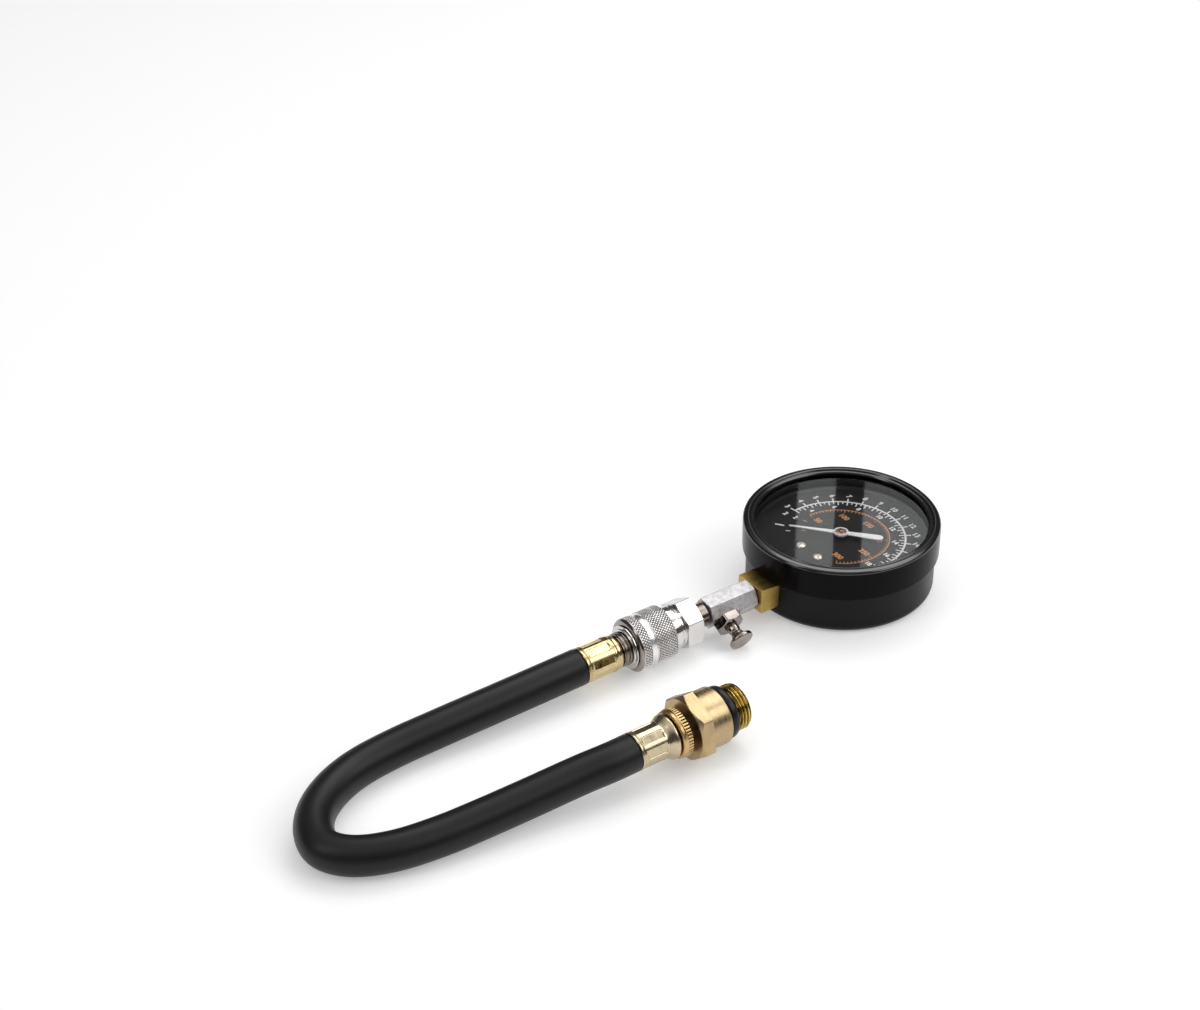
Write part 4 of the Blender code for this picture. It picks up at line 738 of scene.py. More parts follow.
@dataclass(frozen=True)
class Rubber:
    """Moulded or extruded rubber with a soft sheen."""

    name: str
    colour: tuple[float, float, float] = (0.0065, 0.0062, 0.0068)
    roughness: float = 0.40
    spread: tuple[float, float] = (0.04, 0.06)
    specular: float = 0.3
    dust: float = 60.0
    pale: float = 1.5
    grain: float = 5200.0
    depth: float = 0.00003
    strength: float = 0.3

    def make(self) -> bpy.types.Material:
        """Build the material.

        Returns:
            The finished material.
        """
        shade = Shade(self.name)
        shade.set(Specular_IOR_Level=self.specular)
        dust = shade.noise(self.dust, detail=6.0)
        lighter = tuple(self.pale * part for part in self.colour)
        shade.link(shade.ramp(dust, ((0.35, self.colour), (0.75, lighter))),
                   shade.shader.inputs["Base Color"])
        below, above = self.spread
        shade.link(shade.span(dust, self.roughness - below, self.roughness + above),
                   shade.shader.inputs["Roughness"])
        shade.bump(shade.noise(self.grain, detail=2.0), self.depth, self.strength)
        return shade.material


@dataclass(frozen=True)
class Glass:
    """Clear glass that shows what is under it and mirrors at a slant.

    Its opacity is the clear share at a right angle and rises to 1 with the fifth power of the
    slant.
    """

    name: str
    clear: float = 0.04
    power: float = 5.0
    tint: tuple[float, float, float] = (0.95, 0.97, 0.97)
    smear: float = 45.0
    roughness: tuple[float, float] = (0.012, 0.03)

    def make(self) -> bpy.types.Material:
        """Build the material as a mirror that Fresnel fades in over what lies below.

        Returns:
            The finished material.
        """
        shade = Shade(self.name)
        shade.set(Metallic=1.0, Base_Color=(*self.tint, 1.0))
        smear = shade.noise(self.smear, detail=3.0)
        shade.link(shade.span(smear, *self.roughness), shade.shader.inputs["Roughness"])
        slant = shade.add("ShaderNodeLayerWeight")
        slant.inputs["Blend"].default_value = 0.5
        raised = shade.add("ShaderNodeMath", operation="POWER")
        raised.inputs[1].default_value = self.power
        shade.link(slant.outputs["Facing"], raised.inputs[0])
        shade.link(shade.span(raised.outputs[0], self.clear, 1.0, 0.0, 1.0),
                   shade.shader.inputs["Alpha"])
        return shade.material


class Finishes:
    """The finishes of the whole tester, each made once."""

    def __init__(self) -> None:
        """Make every material."""
        # The rim and the wall are one black paint in two copies: the rim's reflects strongly as a
        # painted highlight, the wall's is a little darker and reflects weakly as painted shade.
        self.bezel = Paint("bezel_paint", (0.0045, 0.0036, 0.0038), roughness=0.12, spread=0.03,
                           specular=0.9).make()
        self.wall = Paint("bezel_wall_painted_shade", (0.0045, 0.0032, 0.0034), roughness=0.2, spread=0.03,
                          specular=0.07).make()
        self.case = Paint("case_paint", (0.005, 0.005, 0.0055), roughness=0.34,
                          specular=0.16).make()
        self.dial = Paint("dial_paint", (0.0065, 0.006, 0.0063), roughness=0.5,
                          specular=0.14).make()
        self.white = Paint("white_print", (0.86, 0.87, 0.88), roughness=0.45).make()
        self.needle = Paint("needle_paint", (0.90, 0.90, 0.90), roughness=0.38).make()
        self.cream = Metal("cream_screw", (0.86, 0.82, 0.72), (0.62, 0.56, 0.46), (0.30, 0.45),
                           stain_scale=900.0).make()
        self.orange = Paint("orange_print", (0.62, 0.27, 0.08), roughness=0.5).make()
        self.glass = Glass("lens_glass").make()
        self.rubber = Rubber("hose_rubber").make()
        self.seal = Rubber("seal_rubber", (0.008, 0.008, 0.008), roughness=0.30).make()
        self.block = Metal("block_brass", (0.58, 0.39, 0.12), (0.42, 0.28, 0.085), (0.26, 0.42),
                           marks=(0.08, 1.0, 1.0), mark_scale=1800.0, mark_depth=0.00003,
                           mark_strength=0.35, stain_scale=160.0).make()
        self.brass = Metal("turned_brass", (0.50, 0.375, 0.21), (0.42, 0.30, 0.16), (0.24, 0.38),
                           marks=(1.0, 0.10, 0.10), mark_scale=1800.0, stain_scale=90.0).make()
        # The ribbed and thread finishes darken their grooves with depth as painted shade.
        self.ribbed = Metal("ribbed_brass", (0.62, 0.43, 0.20), (0.50, 0.33, 0.13), (0.22, 0.34),
                            worn=Worn(depth=0.3, shade=0.06)).make()
        self.thread = Metal("thread_brass", (0.80, 0.58, 0.17), (0.60, 0.42, 0.11), (0.16, 0.28),
                            marks=(1.0, 0.1, 0.1), mark_scale=1200.0,
                            worn=Worn(depth=0.8, shade=0.22)).make()
        self.inner_brass = Metal("movement_brass", (0.70, 0.50, 0.20), (0.55, 0.38, 0.14),
                                 (0.26, 0.40)).make()
        self.copper = Metal("copper_disc", (0.46, 0.27, 0.18), (0.30, 0.17, 0.11), (0.22, 0.38),
                            stain_scale=600.0).make()
        self.zinc = Metal("yellow_zinc", (0.64, 0.53, 0.28), (0.50, 0.37, 0.22), (0.10, 0.22),
                          marks=(1.0, 0.3, 0.3), mark_scale=700.0, stain_scale=260.0).make()
        self.pale_zinc = Metal("pale_zinc", (0.58, 0.49, 0.32), (0.48, 0.38, 0.29), (0.14, 0.26),
                               marks=(1.0, 0.3, 0.3), mark_scale=700.0, stain_scale=420.0).make()
        self.nickel = Metal("bright_nickel", (0.66, 0.64, 0.63), (0.58, 0.55, 0.54), (0.09, 0.20),
                            marks=(1.0, 0.2, 0.2), mark_scale=1100.0, mark_strength=0.1,
                            stain_scale=160.0).make()
        self.shadow_nickel = Metal("shadow_nickel", (0.34, 0.31, 0.29), (0.26, 0.22, 0.21),
                                   (0.12, 0.22), marks=(0.2, 1.0, 1.0), mark_scale=1100.0,
                                   mark_strength=0.1, stain_scale=160.0).make()
        # The knurl finish darkens its grooves with depth as painted shade.
        self.knurl = Metal("knurl_nickel", (0.84, 0.82, 0.81), (0.78, 0.75, 0.74), (0.22, 0.34),
                           mark_scale=1600.0, stain_scale=160.0,
                           worn=Worn(depth=0.34, shade=0.16)).make()
        self.silver = Metal("drawn_steel", (0.66, 0.64, 0.645), (0.52, 0.50, 0.51), (0.34, 0.58),
                            marks=(0.3, 1.0, 1.0), mark_scale=1000.0, mark_depth=0.00004,
                            mark_strength=0.45, stain_scale=620.0, stain_span=(0.44, 0.60)).make()
        self.steel = Metal("turned_steel", (0.27, 0.24, 0.21), (0.18, 0.15, 0.13), (0.14, 0.28),
                           marks=(1.0, 0.15, 0.15), mark_scale=1200.0).make()
        self.chrome = Metal("dark_chrome", (0.32, 0.28, 0.26), (0.24, 0.20, 0.185), (0.06, 0.16),
                            marks=(1.0, 1.0, 1.0), mark_scale=700.0, mark_strength=0.1,
                            stain_scale=260.0).make()


@dataclass
class GaugeHead:
    """The case, bezel, glass and dial plate of the gauge, in millimetres.

    The glass and the gasket are given by their two heights, the gate in the case's side by half
    its width and its two heights, and the screws by their places.  Below the wall's drop from
    the top the bezel has a darker, weakly reflecting copy of its paint, as painted shade.
    """

    bezel_radius: float = 40.0
    case_radius: float = 38.4
    case_top: float = 24.1
    height: float = 30.5
    skirt: float = 13.5
    window: float = 35.05
    lip: float = 2.0
    glass: tuple[float, float] = (26.2, 28.2)
    gasket: tuple[float, float] = (24.4, 25.9)
    dial_top: float = 21.1
    dial_radius: float = 36.6
    screws: tuple[tuple[float, float], ...] = ((-17.7, 3.8), (-17.7, -6.7))
    slot_turns: tuple[float, float] = (25.0, 60.0)
    gate: tuple[float, float, float] = (7.8, 5.8, 17.0)
    case_screws: tuple[tuple[float, float], ...] = ((-30.5, 6.0), (-30.5, -6.0))
    wall_drop: float = 1.35

    def build(self, finish: Finishes) -> None:
        """Build the head's pieces.

        Args:
            finish: the finishes of the whole tester.
        """
        self.build_case(finish)
        self.build_bezel(finish)
        self.build_window(finish)
        self.build_dial(finish)

    def build_case(self, finish: Finishes) -> None:
        """Build the cup, whose front side has a rectangular gate for the stem.

        Args:
            finish: the finishes of the whole tester.
        """
        r = self.case_radius
        top = self.case_top
        profile = eased(((0.0, 0.0), (0.0, r - 2.0, 1.2), (2.2, r, 1.4), (top, r, 0.1),
                         (top, r - 1.0, 0.1), (2.6, r - 1.0, 1.0), (1.0, r - 2.4, 1.0),
                         (1.0, 0.0)), steps=7)
        case = turned("case_cup", UP, profile, finish.case, segments=180)
        half, low, high = self.gate
        tools = [rounded_box("gate", (-r - 4, -half, low), (-r + 6, half, high), 0.4, finish.case)]
        hole = np.array(((-1.0, 0.0), (-1.0, 2.8), (0.0, 2.8), (1.1, 1.5), (3.0, 1.5), (3.0, 0.0)))
        for x, y in self.case_screws:
            tools.append(turned("hole", upright(x, y), hole, finish.case, segments=32))
        cut(case, tools)
        deliver(case, Body.GAUGE, "black_paint", "gauge_case")
        profile = eased(((0.1, 0.0), (0.1, 2.3, 0.1), (1.0, 1.2), (4.4, 1.2), (4.4, 0.0)))
        for number, (x, y) in enumerate(self.case_screws, 1):
            screw = turned("case_screw_head_%d" % number, upright(x, y), profile, finish.steel,
                           segments=48)
            cut(screw, [rounded_box("slot", (x - 3.0, y - 0.3, -1.0), (x + 3.0, y + 0.3, 0.55),
                                    0.05, finish.steel)])
            deliver(screw, Body.GAUGE, "steel", "case_screw_%d" % number)

    def build_bezel(self, finish: Finishes) -> None:
        """Build the bezel with its rolled rim and the stepped ring inside it.

        Args:
            finish: the finishes of the whole tester.
        """
        top = self.height
        low = top - self.skirt
        r = self.bezel_radius
        w = self.window
        profile = eased(((low, r - 1.3, 0.1), (low, r - 0.1, 0.25), (low + 0.7, r, 0.3),
                         (top - 1.0, r, 0.6), (top - 0.3, r - 0.55, 0.35), (top, r - 2.0, 0.5),
                         (top - 0.1, w + 2.1, 0.35), (top - 0.8, w + 1.75, 0.2),
                         (top - 0.85, w + 1.45, 0.15), (top - 0.45, w + 1.15, 0.25),
                         (top - 0.55, w + 0.5, 0.3), (top - 1.2, w, 0.3), (top - self.lip, w, 0.0),
                         (top - self.lip, r - 1.3)), steps=7)
        bezel = turned("bezel_ring", UP, profile, finish.bezel, segments=240)
        # Faces below the wall's drop get the darker, weakly reflecting copy of the paint, as
        # painted shade.
        recoat(bezel, finish.wall, lambda centres: centres[:, 2] < (top - self.wall_drop) * MM)
        deliver(bezel, Body.GAUGE, "black_paint", "bezel")

    def build_window(self, finish: Finishes) -> None:
        """Build the glass and the gasket under it.

        Args:
            finish: the finishes of the whole tester.
        """
        edge = self.case_radius - 0.2
        low, top = self.glass
        profile = eased(((low, 0.0), (low, edge, 0.2), (top, edge, 0.2), (top, 0.0)))
        deliver(turned("lens_disc", UP, profile, finish.glass, segments=180), Body.GAUGE, "glass",
                "lens")
        low, top = self.gasket
        profile = eased(((low, edge - 2.4, 0.3), (low, edge + 0.1, 0.3), (top, edge + 0.1, 0.3),
                         (top, edge - 2.4, 0.3)))
        deliver(turned("gasket_ring", UP, profile, finish.seal, segments=120), Body.GAUGE,
                "black_rubber", "lens_gasket")

    def build_dial(self, finish: Finishes) -> None:
        """Build the dial plate with its pressed rim and the dial screws.

        Args:
            finish: the finishes of the whole tester.
        """
        top = self.dial_top
        r = self.dial_radius
        profile = eased(((top - 0.8, 0.0), (top - 0.8, r, 0.1), (top + 0.95, r, 0.2),
                         (top + 0.95, r - 0.45, 0.2), (top + 0.1, r - 0.9, 0.3),
                         (top, r - 1.6, 0.3), (top, 0.0)))
        plate = turned("dial_plate", UP, profile, finish.dial, segments=180)
        tools = [turned("hole", UP, rod(10.0, 30.0, 1.6), finish.dial, segments=32)]
        for x, y in self.screws:
            tools.append(turned("hole", upright(x, y), rod(10.0, 30.0, 1.3), finish.dial,
                                segments=32))
        cut(plate, tools)
        deliver(plate, Body.GAUGE, "black_dial", "dial")
        profile = eased(((17.0, 0.0), (17.0, 1.0), (top + 0.15, 1.0), (top + 0.15, 2.1, 0.15),
                         (top + 0.85, 2.05, 0.45), (top + 1.2, 1.2, 0.4), (top + 1.25, 0.0)))
        bar = np.array(((-3.0, -0.32), (3.0, -0.32), (3.0, 0.32), (-3.0, 0.32)))
        for number, (spot, slot_turn) in enumerate(zip(self.screws, self.slot_turns), 1):
            spin = math.radians(slot_turn)
            way = np.array(((math.cos(spin), math.sin(spin)), (-math.sin(spin), math.cos(spin))))
            axis = upright(*spot)
            screw = turned("dial_screw_head_%d" % number, axis, profile, finish.cream, segments=48)
            cut(screw, [slab("slot", bar @ way, top + 0.55, top + 3.0, finish.cream, ease=0.02,
                             axis=axis)])
            deliver(screw, Body.GAUGE, "nickel", "dial_screw_%d" % number)


@dataclass
class DialPrint:
    """The printed arcs, ticks and numbers of the dial, in millimetres and degrees.

    A mark is a tick's length and width, a text is the radius and the height of its numbers, a
    bar is its angle, its two radii and its width, and a first text is its angle, radius and
    height.  The first of two depths is that of the longer ticks.
    """

    height: float = 21.125
    ink: float = 0.04
    font_scale: float = 1.38
    stroke: float = 0.13
    outer_arc: float = 26.2
    outer_width: float = 0.8
    outer_zero: float = 135.6
    outer_step: float = 13.1
    outer_first: int = 3
    outer_last: int = 20
    mark: tuple[float, float] = (2.4, 0.65)
    divisions: int = 3
    division_depths: tuple[float, float] = (2.6, 1.6)
    division_width: float = 0.52
    outer_text: tuple[float, float] = (30.6, 2.4)
    middle_text: tuple[float, float] = (22.0, 2.1)
    white_bars: tuple[tuple[float, float, float, float], ...] = (
        (124.5, 24.0, 27.9, 0.75), (133.0, 20.7, 22.5, 0.5))
    first_texts: tuple[tuple[float, float, float], ...] = (
        (105.6, 27.6, 2.3), (105.6, 22.6, 2.1))
    inner_arc: float = 19.85
    inner_width: float = 0.42
    inner_zero: float = 135.0
    inner_step: float = 45.0
    inner_end: float = -134.0
    inner_depths: tuple[float, float] = (1.9, 1.2)
    inner_mark_width: float = 0.38
    inner_text: tuple[float, float] = (14.5, 2.5)
    orange_bars: tuple[tuple[float, float, float, float], ...] = (
        (104.4, 17.0, 19.0, 0.5), (127.7, 14.6, 16.2, 0.5))

    def outer_angle(self, value: float) -> float:
        """Return the angle of a value on the outer scale."""
        return self.outer_zero - self.outer_step * value

    def arc(self, radius: float, first: float, last: float, width: float) -> list[np.ndarray]:
        """Lay out an arc as a strip of quads, each as four corners.

        Args:
            radius: the radius of the arc's middle line.
            first: the first angle.
            last: the last angle.
            width: the arc's width.

        Returns:
            The quads in order along the arc.
        """
        turn = np.radians(np.linspace(first, last, 161))
        way = np.stack([np.cos(turn), np.sin(turn)], axis=1)
        low = way * (radius - width / 2)
        high = way * (radius + width / 2)
        return list(np.stack([low[:-1], low[1:], high[1:], high[:-1]], axis=1))

    def tick(self, angle: float, first: float, last: float, width: float) -> np.ndarray:
        """Lay out a radial tick as one quad.

        Args:
            angle: where it stands, in degrees.
            first: the radius of its inner end.
            last: the radius of its outer end.
            width: its width.

        Returns:
            An array of four (x, y) corners.
        """
        turn = math.radians(angle)
        way = np.array([math.cos(turn), math.sin(turn)])
        side = np.array([-way[1], way[0]]) * width / 2
        return np.array([way * first - side, way * last - side, way * last + side,
                         way * first + side])

    def flat(self, name: str, quads: Sequence[np.ndarray],
             material: bpy.types.Material) -> bpy.types.Object:
        """Make one thin mesh from many quads, each raised as a closed plate.

        Args:
            name: the mesh's name.
            quads: the quads, each as four corners.
            material: the ink.

        Returns:
            The new object.
        """
        flat = np.array(quads)
        count = len(flat)
        low = np.concatenate([flat, np.full((count, 4, 1), self.height - self.ink)], axis=2)
        high = np.concatenate([flat, np.full((count, 4, 1), self.height)], axis=2)
        points = np.concatenate([low, high], axis=1).reshape(-1, 3)
        box = np.array([[0, 1, 2, 3], [7, 6, 5, 4], [0, 4, 5, 1], [1, 5, 6, 2], [2, 6, 7, 3],
                        [3, 7, 4, 0]])
        faces = (np.arange(count)[:, None, None] * 8 + box[None]).reshape(-1, 4)
        mesh = bpy.data.meshes.new(name)
        mesh.from_pydata((points * MM).tolist(), [], faces.tolist())
        work = bmesh.new()
        work.from_mesh(mesh)
        bmesh.ops.recalc_face_normals(work, faces=work.faces)
        work.to_mesh(mesh)
        work.free()
        mesh.materials.append(material)
        made = bpy.data.objects.new(name, mesh)
        bpy.context.scene.collection.objects.link(made)
        return made

    def number(self, text: str, angle: float, radius: float, size: float,
               material: bpy.types.Material) -> bpy.types.Object:
        """Make a number that stands upright on the dial, whose top is toward +X.

        Args:
            text: the number.
            angle: where it stands, in degrees.
            radius: how far its middle is from the dial's centre.
            size: its height.
            material: the ink.

        Returns:
            The number as a mesh object.
        """
        curve = bpy.data.curves.new("number", "FONT")
        curve.body = text
        curve.size = size * self.font_scale * MM
        curve.align_x = "CENTER"
        curve.align_y = "CENTER"
        curve.extrude = self.ink / 2 * MM
        curve.offset = self.stroke * MM
        curve.resolution_u = 3
        letter = bpy.data.objects.new("number", curve)
        bpy.context.scene.collection.objects.link(letter)
        graph = bpy.context.evaluated_depsgraph_get()
        mesh = bpy.data.meshes.new_from_object(letter.evaluated_get(graph))
        bpy.data.objects.remove(letter, do_unlink=True)
        turn = math.radians(angle)
        spot = Matrix.Translation((radius * math.cos(turn) * MM, radius * math.sin(turn) * MM,
                                   (self.height - self.ink / 2) * MM))
        mesh.transform(spot @ Matrix.Rotation(-math.pi / 2, 4, "Z"))
        mesh.materials.clear()
        mesh.materials.append(material)
        made = bpy.data.objects.new("number", mesh)
        bpy.context.scene.collection.objects.link(made)
        return made

    def build(self, finish: Finishes) -> None:
        """Build the white and the orange print.

        Args:
            finish: the finishes of the whole tester.
        """
        self.build_white(finish.white)
        self.build_orange(finish.orange)

    def build_white(self, ink: bpy.types.Material) -> None:
        """Build the outer scale: its arc, ticks, zero bar and two rings of numbers.

        Args:
            ink: the print's finish.
        """
        r, first, last = self.outer_arc, self.outer_first, self.outer_last
        length, width = self.mark
        quads = self.arc(r, self.outer_angle(first), self.outer_angle(last), self.outer_width)
        parts: list[bpy.types.Object] = []
        for value in range(first, last + 1):
            angle = self.outer_angle(value)
            quads.append(self.tick(angle, r, r + length, width))
            parts.append(self.number(str(value), angle, *self.outer_text, ink))
        for step in range(self.divisions * (last - first) + 1):
            angle = self.outer_angle(first + step / self.divisions)
            depth = self.division_depths[step % 2]
            quads.append(self.tick(angle, r - depth, r, self.division_width))
        for value in range(first + 1, last - 1, 2):
            parts.append(self.number(str(value), self.outer_angle(value), *self.middle_text, ink))
        quads += [self.tick(*bar) for bar in self.white_bars]
        parts += [self.number("2", *spot, ink) for spot in self.first_texts]
        parts.append(self.flat("white_lines", quads, ink))
        deliver(join("dial_white_print", parts), Body.GAUGE, "white_paint")

    def build_orange(self, ink: bpy.types.Material) -> None:
        """Build the inner scale: its arc, ticks and numbers.

        Args:
            ink: the print's finish.
        """
        r = self.inner_arc
        long_mark, short_mark = self.inner_depths
        quads = self.arc(r, self.inner_zero - self.inner_step, self.inner_end, self.inner_width)
        parts: list[bpy.types.Object] = []
        for step in range(10, 61):
            angle = self.inner_zero - step * self.inner_step / 10
            depth = long_mark if step % 10 == 0 else short_mark
            quads.append(self.tick(angle, r - depth, r, self.inner_mark_width))
        for index in range(1, 7):
            angle = self.inner_zero - index * self.inner_step
            parts.append(self.number(str(50 * index), angle, *self.inner_text, ink))
        quads += [self.tick(*bar) for bar in self.orange_bars]
        parts.append(self.flat("orange_lines", quads, ink))
        deliver(join("dial_orange_print", parts), Body.GAUGE, "black_dial")


@dataclass
class Needle:
    """The pointer with its hub, in millimetres, as it stands at zero."""

    angle: float = 129.6
    length: float = 21.5
    tail: float = 17.3
    tail_radius: float = 1.7
    plane: float = 22.7
    thickness: float = 0.45
    hub: float = 3.1

    def build(self, finish: Finishes) -> None:
        """Build the blade, the white collar, the copper disc and the slotted stud.

        Args:
            finish: the finishes of the whole tester.
        """
        turn = math.radians(self.angle)
        end = np.radians(np.linspace(90.0, 270.0, 15))
        round_end = self.tail_radius
        tail = np.stack([-self.tail + round_end + round_end * np.cos(end),
                         round_end * np.sin(end)], axis=1)
        tip = np.array([(-10.0, -1.6), (-3.0, -1.2), (3.0, -1.1), (10.0, -0.78),
                        (self.length - 0.35, -0.42), (self.length, -0.1), (self.length, 0.1),
                        (self.length - 0.35, 0.42), (10.0, 0.78), (3.0, 1.1), (-3.0, 1.2),
                        (-10.0, 1.6)])
        outline = np.concatenate([tail, tip])
        spin = np.array([[math.cos(turn), math.sin(turn)], [-math.sin(turn), math.cos(turn)]])
        low = self.plane
        blade = slab("needle_blade", outline @ spin, low, low + self.thickness, finish.needle)
        ring = turned("needle_collar", UP, eased((
            (low - 0.4, 1.2), (low - 0.4, self.hub - 0.3, 0.1), (low + 0.1, self.hub, 0.1),
            (low + 0.85, self.hub, 0.2), (low + 0.95, self.hub - 0.35, 0.15),
            (low + 0.8, self.hub - 0.6, 0.1), (low + 0.7, 1.2, 0.0))), finish.needle, segments=64)
        disc = turned("needle_disc", UP, eased((
            (low - 0.2, 0.0), (low - 0.2, 1.1), (low + 0.72, 1.1), (low + 0.72, 2.35, 0.1),
            (low + 0.95, 2.3, 0.2), (low + 0.98, 1.0, 0.1), (low + 0.98, 0.0))), finish.copper,
                      segments=48)
        stud = turned("needle_stud", UP, eased((
            (low + 0.9, 0.0), (low + 0.9, 1.0, 0.1), (low + 1.35, 0.95, 0.2),
            (low + 1.45, 0.4, 0.2), (low + 1.45, 0.0))), finish.steel, segments=36)
        cut(stud, [rounded_box("slot", (-2.0, -0.18, low + 1.2), (2.0, 0.18, low + 2.4), 0.03,
                               finish.steel)])
        deliver(join("pointer_needle", [blade, ring, disc, stud]), Body.POINTER, "white_paint",
                "pointer")


@dataclass
class StemValve:
    """The brass stem block and the hexagonal valve with its button, in millimetres.

    The socket and the tongue inside the case are boxes between two corners.
    """

    block_x: tuple[float, float] = (-46.6, -29.7)
    width: float = 15.0
    height: float = 10.6
    socket: tuple[tuple[float, float, float], ...] = ((-33.6, -11.0, 1.3), (-14.6, 11.0, 16.1))
    tongue: tuple[tuple[float, float, float], ...] = ((-15.6, -5.0, 1.3), (-2.1, 5.0, 4.5))
    edge: float = 0.3
    valve_x: tuple[float, float] = (-69.3, -46.9)
    flats: float = 11.2
    turn: float = 6.5
    spot_face: float = 6.7
    nut_flats: float = 11.0
    nut_gap: float = 0.3
    nut_height: float = 3.7

    def build(self, finish: Finishes) -> None:
        """Build the block, the valve body, the nut and the button.

        Args:
            finish: the finishes of the whole tester.
        """
        half = self.width / 2, self.height / 2
        outside = rounded_box("stem_outside", (self.block_x[0], -half[0], STEM_Z - half[1]),
                              (self.block_x[1], half[0], STEM_Z + half[1]), self.edge,
                              finish.block)
        inside = rounded_box("stem_inside", *self.socket, self.edge, finish.block)
        tongue = rounded_box("stem_tongue", *self.tongue, self.edge, finish.block)
        post = np.array(((15.0, 0.0), (15.0, 2.0), (19.9, 2.0), (20.0, 1.9), (20.0, 1.3),
                         (16.9, 1.3), (16.9, 0.0)))
        posts = [turned("post", upright(x, y), post, finish.block, segments=48)
                 for x, y in GaugeHead.screws]
        deliver(join("stem_brass_block", [outside, inside, tongue] + posts), Body.GAUGE, "brass",
                "stem_block")
        first, last = self.valve_x
        hexed = hexagon(self.turn, self.flats, first, last, edge=0.1)
        rows = [(first, 2.0), (first, 3.5)]
        rows += chamfer_rows(first, last, self.flats, start_cut=0.12, end_cut=0.5)
        rows += [(last, 3.2), (last + 3.4, 3.2), (last + 3.6, 3.0), (last + 3.6, 2.0)]
        body = turned("valve_hexagon", STEM, np.array(rows), finish.silver, segments=360,
                      shaper=hexed, sharp=25.0)
        low = self.flats / 2
        bore = np.array(((0.5, 0.0), (0.5, 1.35), (2.3, 1.35), (2.3, 2.9), (low, 2.9),
                         (low, self.spot_face), (12.0, self.spot_face), (12.0, 0.0)))
        cut(body, [turned("button_bore", BUTTON, bore, finish.silver, segments=64)])
        deliver(body, Body.GAUGE, "steel", "valve_body")
        self.build_button(finish)

    def build_button(self, finish: Finishes) -> None:
        """Build the nut and the mushroom button that slides in it.

        Args:
            finish: the finishes of the whole tester.
        """
        low = self.flats / 2 + self.nut_gap
        top = low + self.nut_height
        rows = [(low, 2.8), (low, 4.6)]
        rows += chamfer_rows(low, top, self.nut_flats, start_cut=0.25, end_cut=0.7)
        rows += [(top, 3.6), (top - 0.25, 3.2), (top - 0.3, 2.8)]
        deliver(turned("button_hex_nut", BUTTON, np.array(rows), finish.chrome, segments=240,
                       shaper=hexagon(0.0, self.nut_flats, low, top, edge=0.15), sharp=25.0),
                Body.GAUGE, "nickel", "button_nut")
        profile = eased(((2.0, 0.0), (2.0, 1.05), (8.9, 1.05), (8.9, 2.5, 0.2), (12.2, 2.5, 0.3),
                         (12.6, 2.2, 0.3), (13.2, 2.2, 0.3), (13.6, 2.6, 0.4), (14.9, 3.0, 0.6),
                         (15.6, 4.4, 0.5), (16.1, 5.0, 0.4), (17.0, 5.1, 0.4), (17.6, 4.8, 0.4),
                         (17.8, 4.0, 0.4), (17.8, 0.0)), steps=6)
        deliver(turned("button_mushroom", BUTTON, profile, finish.chrome, segments=96), Body.BUTTON,
                "dark_chrome", "release_button")


